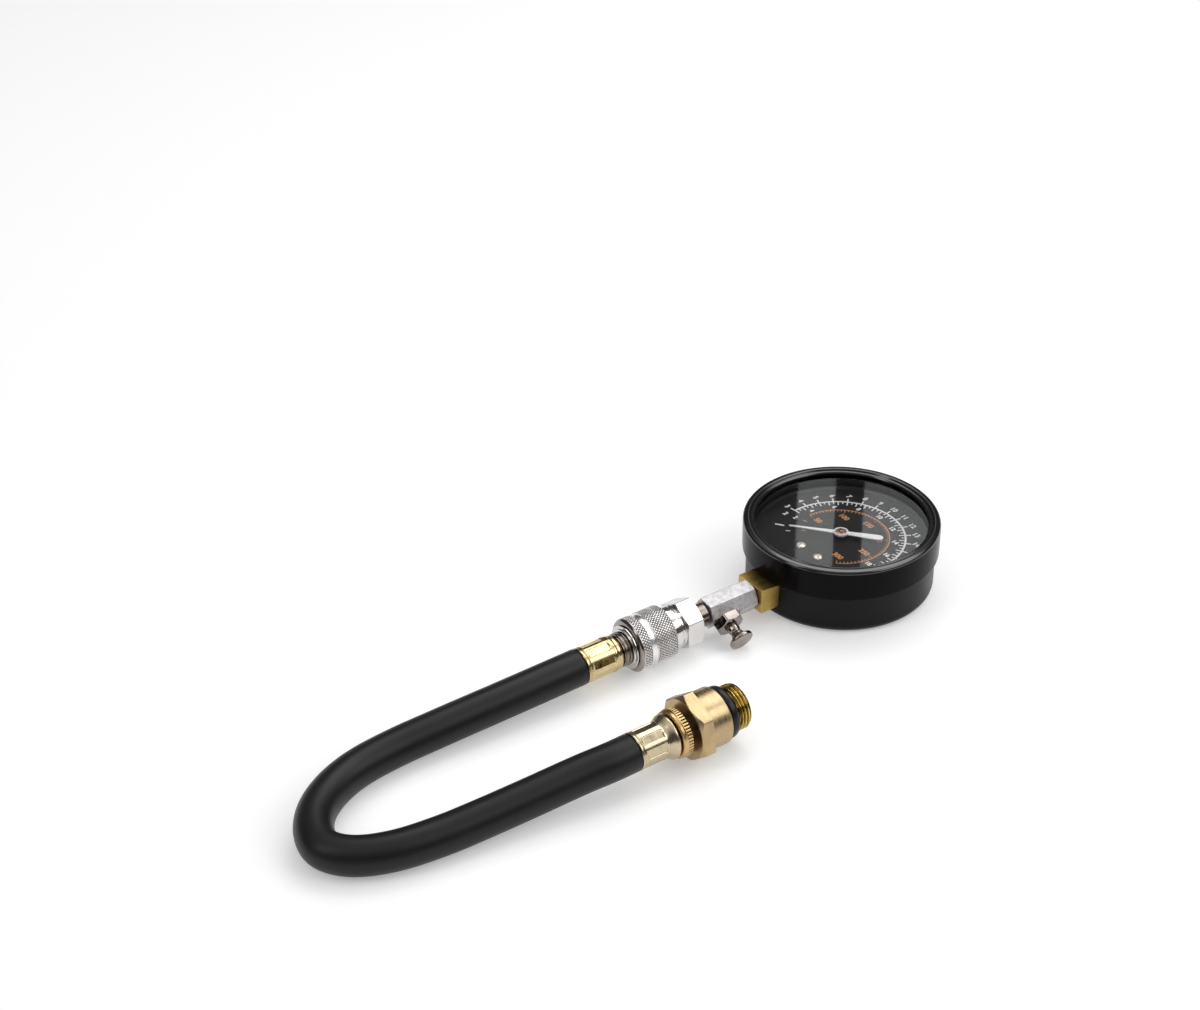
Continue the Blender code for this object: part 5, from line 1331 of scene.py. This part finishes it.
@dataclass
class QuickCoupler:
    """The coupler body with its hexagon and its knurled sleeve, in millimetres.

    The wide band is measured from the sleeve's front, and the narrow band and the rounding from
    its rear end.
    """

    top_x: float = -69.6
    hex_x: float = -75.9
    neck: float = 4.9
    collar_x: float = -83.8
    sleeve_x: float = -89.5
    end_x: float = -106.9
    flats: float = 18.4
    turn: float = 30.0
    sleeve_radius: float = 11.0
    wide_band: tuple[float, float] = (0.5, 9.3)
    narrow_band: tuple[float, float] = (4.9, 1.5)
    rounding: float = 1.3
    diamonds: int = 54
    knurl_pitch: float = 1.5
    knurl_depth: float = 0.42
    knurl_slope: float = 2.6

    def build(self, finish: Finishes) -> None:
        """Build the body, the sleeve and the ring that stops it.

        Args:
            finish: the finishes of the whole tester.
        """
        top, hexed_x, collar = self.top_x, self.hex_x, self.collar_x
        rows = [(top, 2.0, 0.0), (top, self.neck - 0.5, 0.1), (top - 0.5, self.neck, 0.2),
                (hexed_x + 1.0, self.neck, 0.5), (hexed_x, self.neck + 0.9, 0.3)]
        hex_rows = chamfer_rows(collar, hexed_x, self.flats, start_cut=0.25, end_cut=0.7)[::-1]
        under = [(collar, 8.6, 0.0), (collar - 0.5, 8.15, 0.2), (collar - 1.6, 8.15, 0.2),
                 (collar - 2.0, 9.0, 0.2), (self.sleeve_x + 0.6, 9.0, 0.2),
                 (self.sleeve_x, 8.0, 0.1), (self.end_x + 0.2, 8.0, 0.0),
                 (self.end_x - 1.4, 7.5, 0.2), (self.end_x - 1.6, 6.7, 0.1),
                 (self.sleeve_x - 1.2, 6.6, 0.0), (self.sleeve_x - 1.2, 2.0, 0.0)]
        profile = np.concatenate([eased(rows), np.array(hex_rows), eased(under)])
        body = turned("coupler_hex_body", STEM, profile, finish.nickel, segments=360,
                      shaper=hexagon(self.turn, self.flats, collar + HAIR, hexed_x - HAIR,
                                     edge=0.15), sharp=25.0)
        # The neck beyond the hexagon gets the dark turned-steel finish, as painted shade between
        # the hexagon and the valve.
        recoat(body, finish.steel, lambda centres: centres[:, 0] > (hexed_x + 0.05) * MM)
        deliver(body, Body.GAUGE, "nickel", "coupler_body")
        self.build_sleeve(finish)
        ring = self.end_x - 0.35
        profile = eased(((ring, 7.6, 0.1), (ring, 8.9, 0.15), (ring - 0.6, 8.9, 0.15),
                         (ring - 0.6, 7.6, 0.1)))
        deliver(turned("sleeve_stop_ring", STEM, profile, finish.nickel, segments=96), Body.GAUGE,
                "nickel", "retaining_ring")

    def knurled(self, along: np.ndarray, angle: np.ndarray, radius: np.ndarray) -> np.ndarray:
        """Sink two crossing sets of helical grooves into the sleeve's two bands.

        A groove runs where angle times diamonds / 2 pi plus or minus along / pitch is whole.
        The groove's height is a triangle wave, cut off at the top, and the lower of the two
        waves counts.

        Args:
            along: the distances along the axis.
            angle: the angles round it in radians.
            radius: the profile's radii.

        Returns:
            The radii with the grooves sunk into them.
        """
        bands = ((self.sleeve_x - self.wide_band[0], self.sleeve_x - self.wide_band[1]),
                 (self.end_x + self.narrow_band[0], self.end_x + self.narrow_band[1]))
        turns = angle / TAU * self.diamonds
        shift = along / self.knurl_pitch
        first = 1.0 - np.abs(2.0 * ((turns + shift) % 1.0) - 1.0)
        second = 1.0 - np.abs(2.0 * ((turns - shift) % 1.0) - 1.0)
        height = np.minimum(1.0, self.knurl_slope * np.minimum(first, second))
        result = radius.copy()
        for high, low in bands:
            inside = (along <= high) & (along >= low) & (radius > self.sleeve_radius - 0.05)
            result = np.where(inside, radius - self.knurl_depth * (1.0 - height), result)
        return result

    def build_sleeve(self, finish: Finishes) -> None:
        """Build the sleeve's two knurled bands, the groove between them and the round end.

        Args:
            finish: the finishes of the whole tester.
        """
        r = self.sleeve_radius
        top, end = self.sleeve_x, self.end_x
        head = eased(((top, 9.5), (top, r - 0.7, 0.2), (top - 0.35, r - 0.25, 0.15),
                      (top - 0.45, r - 0.1)))
        wide = np.array(dense(top - self.wide_band[0], top - self.wide_band[1], r, rows=70))
        waist = eased(((top - 9.4, r - 0.2), (top - 9.7, r - 0.9, 0.25),
                       (end + 5.4, r - 0.9, 0.25), (end + 5.0, r - 0.2)))
        narrow = np.array(dense(end + self.narrow_band[0], end + self.narrow_band[1], r, rows=26))
        tail = eased(((end + 1.4, r - 0.1), (end + 1.1, r - 0.1, 0.2), (end + 0.3, r - 0.9, 0.6),
                      (end, r - 2.2, 0.3), (end, 8.3), (end + 2.0, 8.3), (end + 2.6, 9.3),
                      (end + 5.6, 9.3), (end + 5.7, 8.3), (end + 8.6, 8.3), (end + 8.6, 9.5)))
        profile = np.concatenate([head, wide, waist, narrow, tail])
        sleeve = turned("knurled_sleeve", STEM, profile, finish.knurl, segments=540,
                        shaper=self.knurled, sharp=40.0, sunk_below=self.sleeve_radius)
        recoat(sleeve, finish.shadow_nickel,
               lambda centres: centres[:, 0] < (end + self.rounding) * MM)
        deliver(sleeve, Body.SLEEVE, "nickel", "coupler_sleeve")


@dataclass
class CrimpedFerrule:
    """A ferrule with pressed panels round it, in millimetres and degrees."""

    radius: float
    first: float
    last: float
    panels: int = 8
    depth: float = 0.45
    half_width: float = 15.5
    turn: float = 0.0
    side_blend: float = 2.5
    end_blend: float = 0.5
    skin: float = 0.3

    def pressed(self, along: np.ndarray, angle: np.ndarray, radius: np.ndarray) -> np.ndarray:
        """Press flat panels into the round body between two stations.

        A panel's reach is the flat's distance over the cosine of the angle from its middle,
        and smooth steps in angle and station blend it into the round.

        Args:
            along: the distances along the axis.
            angle: the angles round it in radians.
            radius: the profile's radii.

        Returns:
            The radii with the panels pressed into them.
        """
        pitch = TAU / self.panels
        within = np.abs((angle - math.radians(self.turn)) % pitch - pitch / 2)
        flat = (self.radius - self.depth) / np.cos(within)
        edge = np.clip((math.radians(self.half_width) - within) / math.radians(self.side_blend),
                       0.0, 1.0)
        ends = np.clip(np.minimum(along - self.first, self.last - along) / self.end_blend,
                       0.0, 1.0)
        share = edge * ends
        share = share * share * (3.0 - 2.0 * share)
        pressed = radius + (np.minimum(flat, radius) - radius) * share
        return np.where(radius > self.radius - self.skin, pressed, radius)


@dataclass
class HoseLine:
    """The plug, the two ferrules and the hose between them, in millimetres."""

    radius: float = 7.3
    rim: float = 0.35
    rings: int = 181
    columns: int = 48
    start_x: float = -129.3
    near_x: tuple[float, float] = (-129.0, -112.0)
    lip_x: float = -144.4
    far_length: float = 16.1
    far_turn: float = 8.0
    ferrule_radius: float = 7.25
    lead: tuple[float, float, float] = (9.0, 0.0, 0.1)
    route: tuple[tuple[float, float, float], ...] = (
        (-160.0, 0.6, 10.4), (-190.0, 2.0, 8.8), (-210.0, 2.6, 7.7), (-226.0, 0.8, 7.4),
        (-239.0, -4.0, 7.4), (-249.5, -11.5, 7.4), (-256.0, -21.0, 7.4), (-257.5, -31.0, 7.4),
        (-251.0, -40.0, 7.4), (-238.0, -46.0, 7.4), (-221.0, -49.0, 7.6), (-204.0, -50.8, 8.6),
        (-186.0, -52.6, 10.2), (-166.0, -54.8, 12.4))

    def line(self, count: int) -> np.ndarray:
        """Return evenly spaced points on a smooth curve through the route's points.

        Between two points the curve is a cubic whose slope at each of them is half the step
        from the point before to the point after.  It is then spaced evenly by its length.

        Args:
            count: how many points there are.

        Returns:
            An array of count x 3 coordinates in millimetres.
        """
        first = np.array((self.start_x, 0.0, STEM_Z))
        last = np.array((self.lip_x - 0.3, FAR_Y, FAR_Z))
        lead = np.array(self.lead)
        points = np.array([first, first - lead, *self.route, last - lead, last])
        ends = np.vstack([2 * points[0] - points[1], points, 2 * points[-1] - points[-2]])
        t = np.linspace(0.0, 1.0, 40, endpoint=False)[None, :, None]
        p0, p1, p2, p3 = (ends[k:len(ends) - 3 + k][:, None, :] for k in range(4))
        curve = 0.5 * (2 * p1 + (p2 - p0) * t + (2 * p0 - 5 * p1 + 4 * p2 - p3) * t ** 2
                       + (3 * p1 - p0 - 3 * p2 + p3) * t ** 3)
        smooth = np.vstack([curve.reshape(-1, 3), points[-1]])
        length = np.concatenate([[0.0], np.cumsum(np.linalg.norm(np.diff(smooth, axis=0), axis=1))])
        even = np.linspace(0.0, length[-1], count)
        return np.stack([np.interp(even, length, smooth[:, k]) for k in range(3)], axis=1)

    def build(self, finish: Finishes) -> None:
        """Build the plug, the ferrules and the hose.

        Args:
            finish: the finishes of the whole tester.
        """
        self.build_plug(finish)
        hose, line = self.build_hose(finish)
        near = self.build_near_ferrule(finish)
        far = self.build_far_ferrule(finish)
        adapter = AdapterEnd().build(finish)

    def build_plug(self, finish: Finishes) -> None:
        """Build the plug with the rings that show between the coupler and the ferrule.

        Args:
            finish: the finishes of the whole tester.
        """
        profile = eased(((-92.0, 2.2), (-92.0, 4.9, 0.2), (-94.4, 6.0, 0.3), (-94.7, 6.3),
                         (-98.3, 6.3), (-99.0, 5.2), (-100.6, 5.2), (-101.3, 6.3),
                         (-108.8, 6.3), (-108.8, 6.9, 0.1), (-109.4, 7.0, 0.2),
                         (-109.8, 6.2, 0.1), (-110.2, 6.2, 0.1), (-110.5, 6.85, 0.2),
                         (-111.1, 6.85, 0.2), (-111.4, 6.2, 0.1), (-111.7, 6.2),
                         (-111.7, 3.5), (-128.0, 3.5), (-128.0, 2.2)), steps=5)
        deliver(turned("hose_plug_body", STEM, profile, finish.steel, segments=120), Body.HOSE_END,
                "steel", "hose_plug")

    def build_near_ferrule(self, finish: Finishes) -> bpy.types.Object:
        """Build the ferrule beside the coupler.

        Args:
            finish: the finishes of the whole tester.

        Returns:
            The ferrule.
        """
        lip, top = self.near_x
        r = self.ferrule_radius
        crimp = CrimpedFerrule(r, lip + 2.2, top - 4.6)
        profile = np.concatenate([
            eased(((lip, 3.8), (lip, r - 0.1, 0.15), (lip + 0.35, r + 0.05, 0.2),
                   (lip + 1.0, r + 0.05, 0.2), (lip + 1.3, r - 0.2, 0.15),
                   (lip + 1.6, r - 0.05, 0.1))),
            np.array(dense(lip + 1.8, top - 4.2, r, rows=44)),
            eased(((top - 4.0, r, 0.1), (top - 3.2, r + 0.02, 0.4), (top - 2.6, r - 0.25, 0.3),
                   (top - 1.4, r - 0.3, 0.3), (top - 0.3, r - 0.9, 0.5), (top, r - 1.6, 0.2),
                   (top, 3.8)))])
        piece = turned("near_crimp_ferrule", STEM, profile, finish.zinc, segments=384,
                       shaper=crimp.pressed, sharp=28.0)
        return deliver(piece, Body.HOSE_END, "zinc_yellow", "near_ferrule")

    def build_far_ferrule(self, finish: Finishes) -> bpy.types.Object:
        """Build the ferrule that flares to a bell toward the adapter.

        Args:
            finish: the finishes of the whole tester.

        Returns:
            The ferrule.
        """
        lip, end = self.lip_x, self.lip_x + self.far_length
        r = self.ferrule_radius
        crimp = CrimpedFerrule(r, lip + 1.9, end - 4.9, turn=self.far_turn)
        profile = np.concatenate([
            eased(((lip, 3.8), (lip, r - 0.05, 0.15), (lip + 0.3, r + 0.15, 0.2),
                   (lip + 0.9, r + 0.15, 0.2), (lip + 1.2, r - 0.15, 0.15),
                   (lip + 1.4, r - 0.03, 0.1))),
            np.array(dense(lip + 1.6, end - 4.4, r, rows=44)),
            eased(((end - 4.2, r, 0.1), (end - 3.6, r + 0.1, 0.5), (end - 2.2, r + 1.0, 0.8),
                   (end - 1.3, 8.75, 0.5), (end - 0.5, 8.8, 0.4), (end, 8.2, 0.3), (end, 3.8)))])
        piece = turned("far_crimp_ferrule", FAR, profile, finish.pale_zinc, segments=384,
                       shaper=crimp.pressed, sharp=28.0)
        return deliver(piece, Body.HOSE_END, "zinc_yellow", "far_ferrule")

    def build_hose(self, finish: Finishes) -> tuple[bpy.types.Object, np.ndarray]:
        """Build the hose as rings carried along its line.

        The ring at each point lies in the plane across the line, with its side direction kept
        level.

        Args:
            finish: the finishes of the whole tester.

        Returns:
            The hose and the points of its line in millimetres.
        """
        line = self.line(self.rings)
        way = np.gradient(line, axis=0)
        way /= np.linalg.norm(way, axis=1)[:, None]
        side = np.cross(way, np.array((0.0, 0.0, 1.0)))
        side /= np.linalg.norm(side, axis=1)[:, None]
        up = np.cross(side, way)
        turn = np.arange(self.columns) * TAU / self.columns
        reach = np.full(len(line), self.radius)
        reach[[0, -1]] = self.radius - self.rim
        rings = (line[:, None, :] + reach[:, None, None] * (
            side[:, None, :] * np.cos(turn)[None, :, None]
            + up[:, None, :] * np.sin(turn)[None, :, None]))
        step = np.linalg.norm(line[1] - line[0])
        rings[1] -= way[1] * (step - self.rim)
        rings[-2] += way[-2] * (step - self.rim)
        points = np.concatenate([np.repeat(line[:1, None, :], self.columns, axis=1), rings,
                                 np.repeat(line[-1:, None, :], self.columns, axis=1)])
        piece = mesh_piece("rubber_hose", points,
                           grid_faces(len(points), self.columns, False, True), finish.rubber,
                           sharp=50.0)
        return deliver(piece, Body.HOSE_END, "black_rubber", "hose"), line


@dataclass
class AdapterEnd:
    """The nipple, hand ring and threaded adapter at the hose's far end, in millimetres.

    The seal is given by the middle of its section and half its size, as (along, radius).
    """

    ring_x: tuple[float, float] = (-127.7, -123.3)
    ring_radius: float = 9.6
    ribs: int = 48
    rib_depth: float = 0.45
    rib_slope: float = 2.2
    rib_start: float = 1.9
    start_x: float = -121.5
    flats: float = 24.0
    turn: float = 81.0
    hex_length: float = 5.8
    body_length: float = 9.2
    body_radius: float = 11.3
    groove_length: float = 4.0
    groove_radius: float = 7.9
    thread_length: float = 6.3
    thread_radius: float = 9.0
    thread_pitch: float = 1.5
    thread_depth: float = 0.92
    thread_crest: float = 0.1
    thread_flank: float = 0.78
    runout_depth: float = 0.95
    runout_slope: float = 1.1
    seal_middle: tuple[float, float] = (-104.5, 9.3)
    seal_half: tuple[float, float] = (1.7, 1.1)
    seal_square: float = 0.8

    def build(self, finish: Finishes) -> list[bpy.types.Object]:
        """Build the far fitting's pieces.

        Args:
            finish: the finishes of the whole tester.

        Returns:
            The five pieces, from the nipple to the valve core.
        """
        return [self.build_nipple(finish), self.build_hand_ring(finish),
                self.build_adapter(finish), self.build_seal(finish), self.build_core(finish)]

    def build_nipple(self, finish: Finishes) -> bpy.types.Object:
        """Build the nipple that joins the ferrule to the adapter.

        Args:
            finish: the finishes of the whole tester.

        Returns:
            The nipple.
        """
        profile = eased(((-142.9, 2.2), (-142.9, 3.4, 0.1), (-128.0, 3.5), (-128.0, 5.0, 0.1),
                         (-121.8, 5.0, 0.1), (-121.8, 4.5), (-114.2, 4.5, 0.3), (-114.0, 3.9),
                         (-114.0, 2.2)))
        return deliver(turned("far_hose_nipple", FAR, profile, finish.steel, segments=72),
                       Body.HOSE_END, "steel", "far_nipple")

    def build_hand_ring(self, finish: Finishes) -> bpy.types.Object:
        """Build the ring, ribbed along its front edge.

        Args:
            finish: the finishes of the whole tester.

        Returns:
            The hand ring.
        """
        low, high = self.ring_x
        r = self.ring_radius
        profile = np.concatenate([
            eased(((low, 5.3), (low, r - 1.0, 0.2), (low + 0.3, r - 0.35, 0.2),
                   (low + 1.4, r - 0.25, 0.1), (low + 1.6, r - 0.05, 0.1))),
            np.array(dense(low + 1.7, high - 0.4, r, rows=16)),
            eased(((high - 0.3, r - 0.05), (high - 0.1, r - 0.3), (high, r - 0.8, 0.1),
                   (high, 5.3)))])
        piece = turned("ribbed_hand_ring", FAR, profile, finish.ribbed, segments=480,
                       shaper=self.ribbed, sharp=40.0, sunk_below=r)
        return deliver(piece, Body.HOSE_END, "brass", "hand_ring")

    def ribbed(self, along: np.ndarray, angle: np.ndarray, radius: np.ndarray) -> np.ndarray:
        """Sink grooves along the front of the hand ring.

        The depth is a triangle wave of the angle with as many periods as there are ribs, cut
        off at the crests and the roots, and it runs out behind the front.

        Args:
            along: the distances along the axis.
            angle: the angles round it in radians.
            radius: the profile's radii.

        Returns:
            The radii with the grooves sunk into them.
        """
        wave = 1.0 - np.abs(2.0 * ((angle / TAU * self.ribs) % 1.0) - 1.0)
        groove = self.rib_depth * np.clip(self.rib_slope * (wave - 0.5), 0.0, 1.0)
        edge = np.clip((along - (self.ring_x[0] + self.rib_start)) / 0.3, 0.0, 1.0)
        return np.where(radius > self.ring_radius - self.rib_depth, radius - groove * edge, radius)

    def threaded(self, along: np.ndarray, angle: np.ndarray, radius: np.ndarray) -> np.ndarray:
        """Cut a right-handed thread into the adapter's end.

        The turn count is along / pitch less angle / 2 pi, the depth is a triangle wave of it
        with flat crests and roots, and both ends run out.

        Args:
            along: the distances along the axis.
            angle: the angles round it in radians.
            radius: the profile's radii.

        Returns:
            The radii of the hexagon and the thread.
        """
        hexed = hexagon(self.turn, self.flats, self.start_x, self.start_x + self.hex_length,
                        edge=0.15)
        result = hexed(along, angle, radius)
        first = self.start_x + self.hex_length + self.body_length + self.groove_length
        last = first + self.thread_length
        wave = np.abs(2.0 * ((along / self.thread_pitch - angle / TAU) % 1.0) - 1.0)
        depth = self.thread_depth * np.clip((wave - self.thread_crest) / self.thread_flank,
                                            0.0, 1.0)
        to_end = np.minimum(along - first, last - along)
        runout = np.clip(self.runout_depth - to_end * self.runout_slope, 0.0, 1.0)
        inside = ((along > first) & (radius > self.thread_radius - 0.01)
                  & (radius < self.thread_radius + 0.1))
        return np.where(inside, radius - np.maximum(depth, runout), result)

    def build_adapter(self, finish: Finishes) -> bpy.types.Object:
        """Build the adapter with its hexagon, round body, groove and thread.

        Args:
            finish: the finishes of the whole tester.

        Returns:
            The adapter.
        """
        start = self.start_x
        hex_end = start + self.hex_length
        body_end = hex_end + self.body_length
        groove_end = body_end + self.groove_length
        end = groove_end + self.thread_length
        r = self.body_radius
        cones = chamfer_rows(start, hex_end, self.flats, start_cut=1.5, end_cut=0.4)
        profile = np.concatenate([
            np.array([(start, 4.8), (start, 11.0)] + cones),
            eased(((hex_end + 10 * HAIR, r + 0.05), (hex_end + 0.3, r, 0.1),
                   (body_end - 0.5, r, 0.3), (body_end, r - 0.6, 0.2),
                   (body_end, self.groove_radius), (groove_end, self.groove_radius))),
            np.array(dense(groove_end + 0.02, end - 0.02, self.thread_radius, rows=84)),
            eased(((end, 7.8), (end, 2.6, 0.2), (-113.5, 2.6), (-113.7, 4.8)))])
        piece = turned("brass_adapter", FAR, profile, finish.brass, segments=240,
                       shaper=self.threaded, sharp=30.0, start=self.turn,
                       sunk_below=self.thread_radius + 0.01)
        recoat(piece, finish.thread, lambda centres: centres[:, 0] > (body_end + 0.2) * MM)
        return deliver(piece, Body.HOSE_END, "brass", "adapter")

    def build_seal(self, finish: Finishes) -> bpy.types.Object:
        """Build the sealing ring in the adapter's groove.

        Its section is a circle made squarer: each coordinate is the cosine or the sine of the
        turn, raised to a power below 1 with its sign kept.

        Args:
            finish: the finishes of the whole tester.

        Returns:
            The sealing ring.
        """
        turn = np.linspace(0.0, TAU, 24, endpoint=False)
        circle = np.stack([np.cos(turn), np.sin(turn)], axis=1)
        section = np.array(self.seal_half) * np.sign(circle) * np.abs(circle) ** self.seal_square
        profile = np.array(self.seal_middle) + section
        return deliver(turned("adapter_sealing_ring", FAR, profile, finish.seal, segments=120,
                              sharp=60.0), Body.HOSE_END, "black_rubber", "adapter_o_ring")

    def build_core(self, finish: Finishes) -> bpy.types.Object:
        """Build the valve core in the adapter's bore.

        Args:
            finish: the finishes of the whole tester.

        Returns:
            The valve core.
        """
        profile = eased(((-102.7, 0.0), (-102.7, 1.2), (-101.2, 2.3, 0.2), (-97.4, 2.3, 0.2),
                         (-97.2, 1.7, 0.1), (-97.6, 1.2, 0.1), (-97.6, 0.5), (-96.7, 0.4, 0.1),
                         (-96.7, 0.0)))
        return deliver(turned("valve_core", FAR, profile, finish.inner_brass, segments=48),
                       Body.HOSE_END, "brass", "check_valve")


@dataclass
class Hidden:
    """The CAD nodes that stay, behind the dial and inside the coupler."""

    brass: tuple[str, ...] = ("movement_base", "movement_bridge", "sector_gear", "link",
                              "bourdon_tube", "tube_tip")
    steel: tuple[str, ...] = ("pinion_arbor", "hairspring", "movement_screw_1",
                              "movement_screw_2", "bridge_screw_1", "bridge_screw_2",
                              "button_spring", "sleeve_spring", "lock_ball_1", "lock_ball_2",
                              "lock_ball_3", "lock_ball_4", "lock_ball_5", "lock_ball_6")
    rubber: tuple[str, ...] = ("plug_seal",)

    def dress(self, finish: Finishes) -> None:
        """Give each remaining node its finish.

        Args:
            finish: the finishes of the whole tester.
        """
        for names, material in ((self.brass, finish.inner_brass), (self.steel, finish.steel),
                                (self.rubber, finish.seal)):
            for name in names:
                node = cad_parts[name]
                node.data.materials.clear()
                node.data.materials.append(material)


@dataclass
class Studio:
    """The pale floor, the soft lights and the camera, in metres, degrees, pixels and watts.

    A card is its name, how far it stands to the right, and its width.  The room is a list of
    (height, level) stops, from 0 below to 1 overhead.  A light's power is for a square metre,
    apart from the left one's.
    """

    eye: tuple[float, float, float] = (-0.5146, -0.5834, 0.5316)
    heading: tuple[float, float] = (0.562, 0.827)
    pitch: float = 32.59
    roll: float = 1.01
    focal: float = 2274.0
    width: float = 1200.0
    centre: tuple[float, float, float] = (-0.08, -0.01, 0.01)
    floor_half: float = 6.0
    floor_tone: float = 0.78
    floor_drop: float = 0.0002
    floor_glow: float = 0.34
    box_ways: tuple[tuple[str, tuple[float, float, float]], ...] = (
        ("far_box", (0.473, 0.247, 0.846)), ("near_box", (0.473, -0.585, 0.657)))
    box_size: tuple[float, float] = (1.1, 0.62)
    box_distance: float = 1.25
    box_power: float = 7.5
    left_spot: tuple[float, float, float] = (-1.2, 0.1, 0.9)
    left_size: tuple[float, float] = (0.35, 0.8)
    left_power: float = 2.5
    cards: tuple[tuple[str, float, float], ...] = (
        ("narrow_card", 0.170, 0.047), ("wide_card", 0.275, 0.092))
    card_distance: float = 1.6
    card_middle: float = 1.12
    card_height: float = 0.75
    card_power: float = 3.0
    room: tuple[tuple[float, float], ...] = ((0.0, 0.10), (0.56, 0.09), (0.68, 0.34), (0.9, 0.85))

    def build(self) -> None:
        """Build the floor, the lights, the world and the camera."""
        self.build_camera()
        self.build_floor()
        self.build_lights()
        self.build_world()

    def seen(self, tree: bpy.types.NodeTree) -> bpy.types.NodeSocket:
        """Return a value that is 1 for rays by which the background is seen.

        These are the camera's rays, mirrored rays and rays through glass.

        Args:
            tree: the material's node tree.

        Returns:
            The value's socket.
        """
        path = tree.nodes.new("ShaderNodeLightPath")
        first = tree.nodes.new("ShaderNodeMath")
        first.operation = "MAXIMUM"
        last = tree.nodes.new("ShaderNodeMath")
        last.operation = "MAXIMUM"
        tree.links.new(path.outputs["Is Camera Ray"], first.inputs[0])
        tree.links.new(path.outputs["Is Glossy Ray"], first.inputs[1])
        tree.links.new(first.outputs[0], last.inputs[0])
        tree.links.new(path.outputs["Is Transmission Ray"], last.inputs[1])
        return last.outputs[0]

    def build_floor(self) -> None:
        """Build a pale floor that is white to the camera and keeps the shadows."""
        mesh = bpy.data.meshes.new("floor")
        half = self.floor_half
        mesh.from_pydata([(-half, -half, 0), (half, -half, 0), (half, half, 0), (-half, half, 0)],
                         [], [(0, 1, 2, 3)])
        floor = bpy.data.objects.new("floor", mesh)
        bpy.context.scene.collection.objects.link(floor)
        shade = Shade("floor_paper")
        tone = self.floor_tone
        shade.set(Base_Color=(tone, tone, tone, 1.0), Roughness=0.9, Specular_IOR_Level=0.1,
                  Emission_Color=(1.0, 1.0, 1.0, 1.0))
        glow = shade.add("ShaderNodeMath", operation="MULTIPLY")
        glow.inputs[1].default_value = self.floor_glow
        shade.link(self.seen(shade.tree), glow.inputs[0])
        shade.link(glow.outputs[0], shade.shader.inputs["Emission Strength"])
        mesh.materials.append(shade.material)
        floor.location.z = -self.floor_drop

    def lamp(self, name: str, spot: Sequence[float], aim: Sequence[float],
             size: tuple[float, float], power: float) -> None:
        """Add a rectangular soft light that faces a point.

        Args:
            name: the light's name.
            spot: where it stands, in metres.
            aim: the point that it faces.
            size: its width and height in metres.
            power: its power in watts.
        """
        data = bpy.data.lights.new(name, "AREA")
        data.shape = "RECTANGLE"
        data.size, data.size_y = size
        data.energy = power
        lamp = bpy.data.objects.new(name, data)
        lamp.location = spot
        way = Vector(aim) - Vector(spot)
        lamp.rotation_euler = way.to_track_quat("-Z", "Y").to_euler()
        bpy.context.scene.collection.objects.link(lamp)

    def build_lights(self) -> None:
        """Add two soft boxes overhead, a lamp on the left and two cards that the glass mirrors."""
        wide, high = self.box_size
        for name, way in self.box_ways:
            spot = Vector(self.centre) + Vector(way) * self.box_distance
            self.lamp(name, spot, self.centre, self.box_size, self.box_power * wide * high)
        self.lamp("left", self.left_spot, self.centre, self.left_size, self.left_power)
        level = Vector((*self.heading, 0.0)).normalized()
        right = level.cross(Vector((0, 0, 1)))
        for name, side, wide in self.cards:
            aim = right * side + Vector((0, 0, self.card_middle))
            spot = level * self.card_distance + aim
            self.lamp(name, spot, aim, (wide, self.card_height),
                      self.card_power * wide * self.card_height)

    def build_world(self) -> None:
        """Make a room that is dark at the height of the horizon and pale overhead."""
        world = bpy.data.worlds.new("room")
        world.use_nodes = True
        tree = world.node_tree
        back = tree.nodes["Background"]
        place = tree.nodes.new("ShaderNodeTexCoord")
        parts = tree.nodes.new("ShaderNodeSeparateXYZ")
        tree.links.new(place.outputs["Generated"], parts.inputs[0])
        ramp = tree.nodes.new("ShaderNodeValToRGB")
        elements = ramp.color_ramp.elements
        while len(elements) < len(self.room):
            elements.new(0.5)
        for element, (height, level) in zip(elements, self.room):
            element.position = height
            element.color = (level, level, level, 1.0)
        tree.links.new(parts.outputs["Z"], ramp.inputs["Fac"])
        camera = tree.nodes.new("ShaderNodeLightPath")
        mix = tree.nodes.new("ShaderNodeMix")
        mix.data_type = "RGBA"
        tree.links.new(camera.outputs["Is Camera Ray"], mix.inputs["Factor"])
        tree.links.new(ramp.outputs["Color"], mix.inputs["A"])
        mix.inputs["B"].default_value = (1.0, 1.0, 1.0, 1.0)
        tree.links.new(mix.outputs["Result"], back.inputs["Color"])
        bpy.context.scene.world = world

    def build_camera(self) -> None:
        """Add the camera at the photograph's viewing angle."""
        data = bpy.data.cameras.new("camera")
        data.sensor_fit = "HORIZONTAL"
        data.sensor_width = 36.0
        data.lens = self.focal * data.sensor_width / self.width
        data.clip_start = 0.01
        camera = bpy.data.objects.new("camera", data)
        bpy.context.scene.collection.objects.link(camera)
        tilt = math.radians(self.pitch)
        level = Vector((*self.heading, 0.0)).normalized()
        forward = level * math.cos(tilt) - Vector((0, 0, 1)) * math.sin(tilt)
        right = forward.cross(Vector((0, 0, 1))).normalized()
        up = right.cross(forward)
        turn = Matrix.Rotation(math.radians(self.roll), 3, forward)
        right, up = turn @ right, turn @ up
        pose = Matrix((right, up, -forward)).transposed().to_4x4()
        pose.translation = Vector(self.eye)
        camera.matrix_world = pose
        scene = bpy.context.scene
        scene.camera = camera
        scene.view_settings.view_transform = "Standard"


def main() -> None:
    """Build the studio, then the tester piece by piece."""
    logging.basicConfig(level=logging.INFO, format="%(name)s: %(message)s")
    finish = Finishes()
    Studio().build()
    HoseLine().build(finish)
    GaugeHead().build(finish)
    DialPrint().build(finish)
    Needle().build(finish)
    StemValve().build(finish)
    QuickCoupler().build(finish)
    Hidden().dress(finish)


if __name__ == "__main__":
    main()
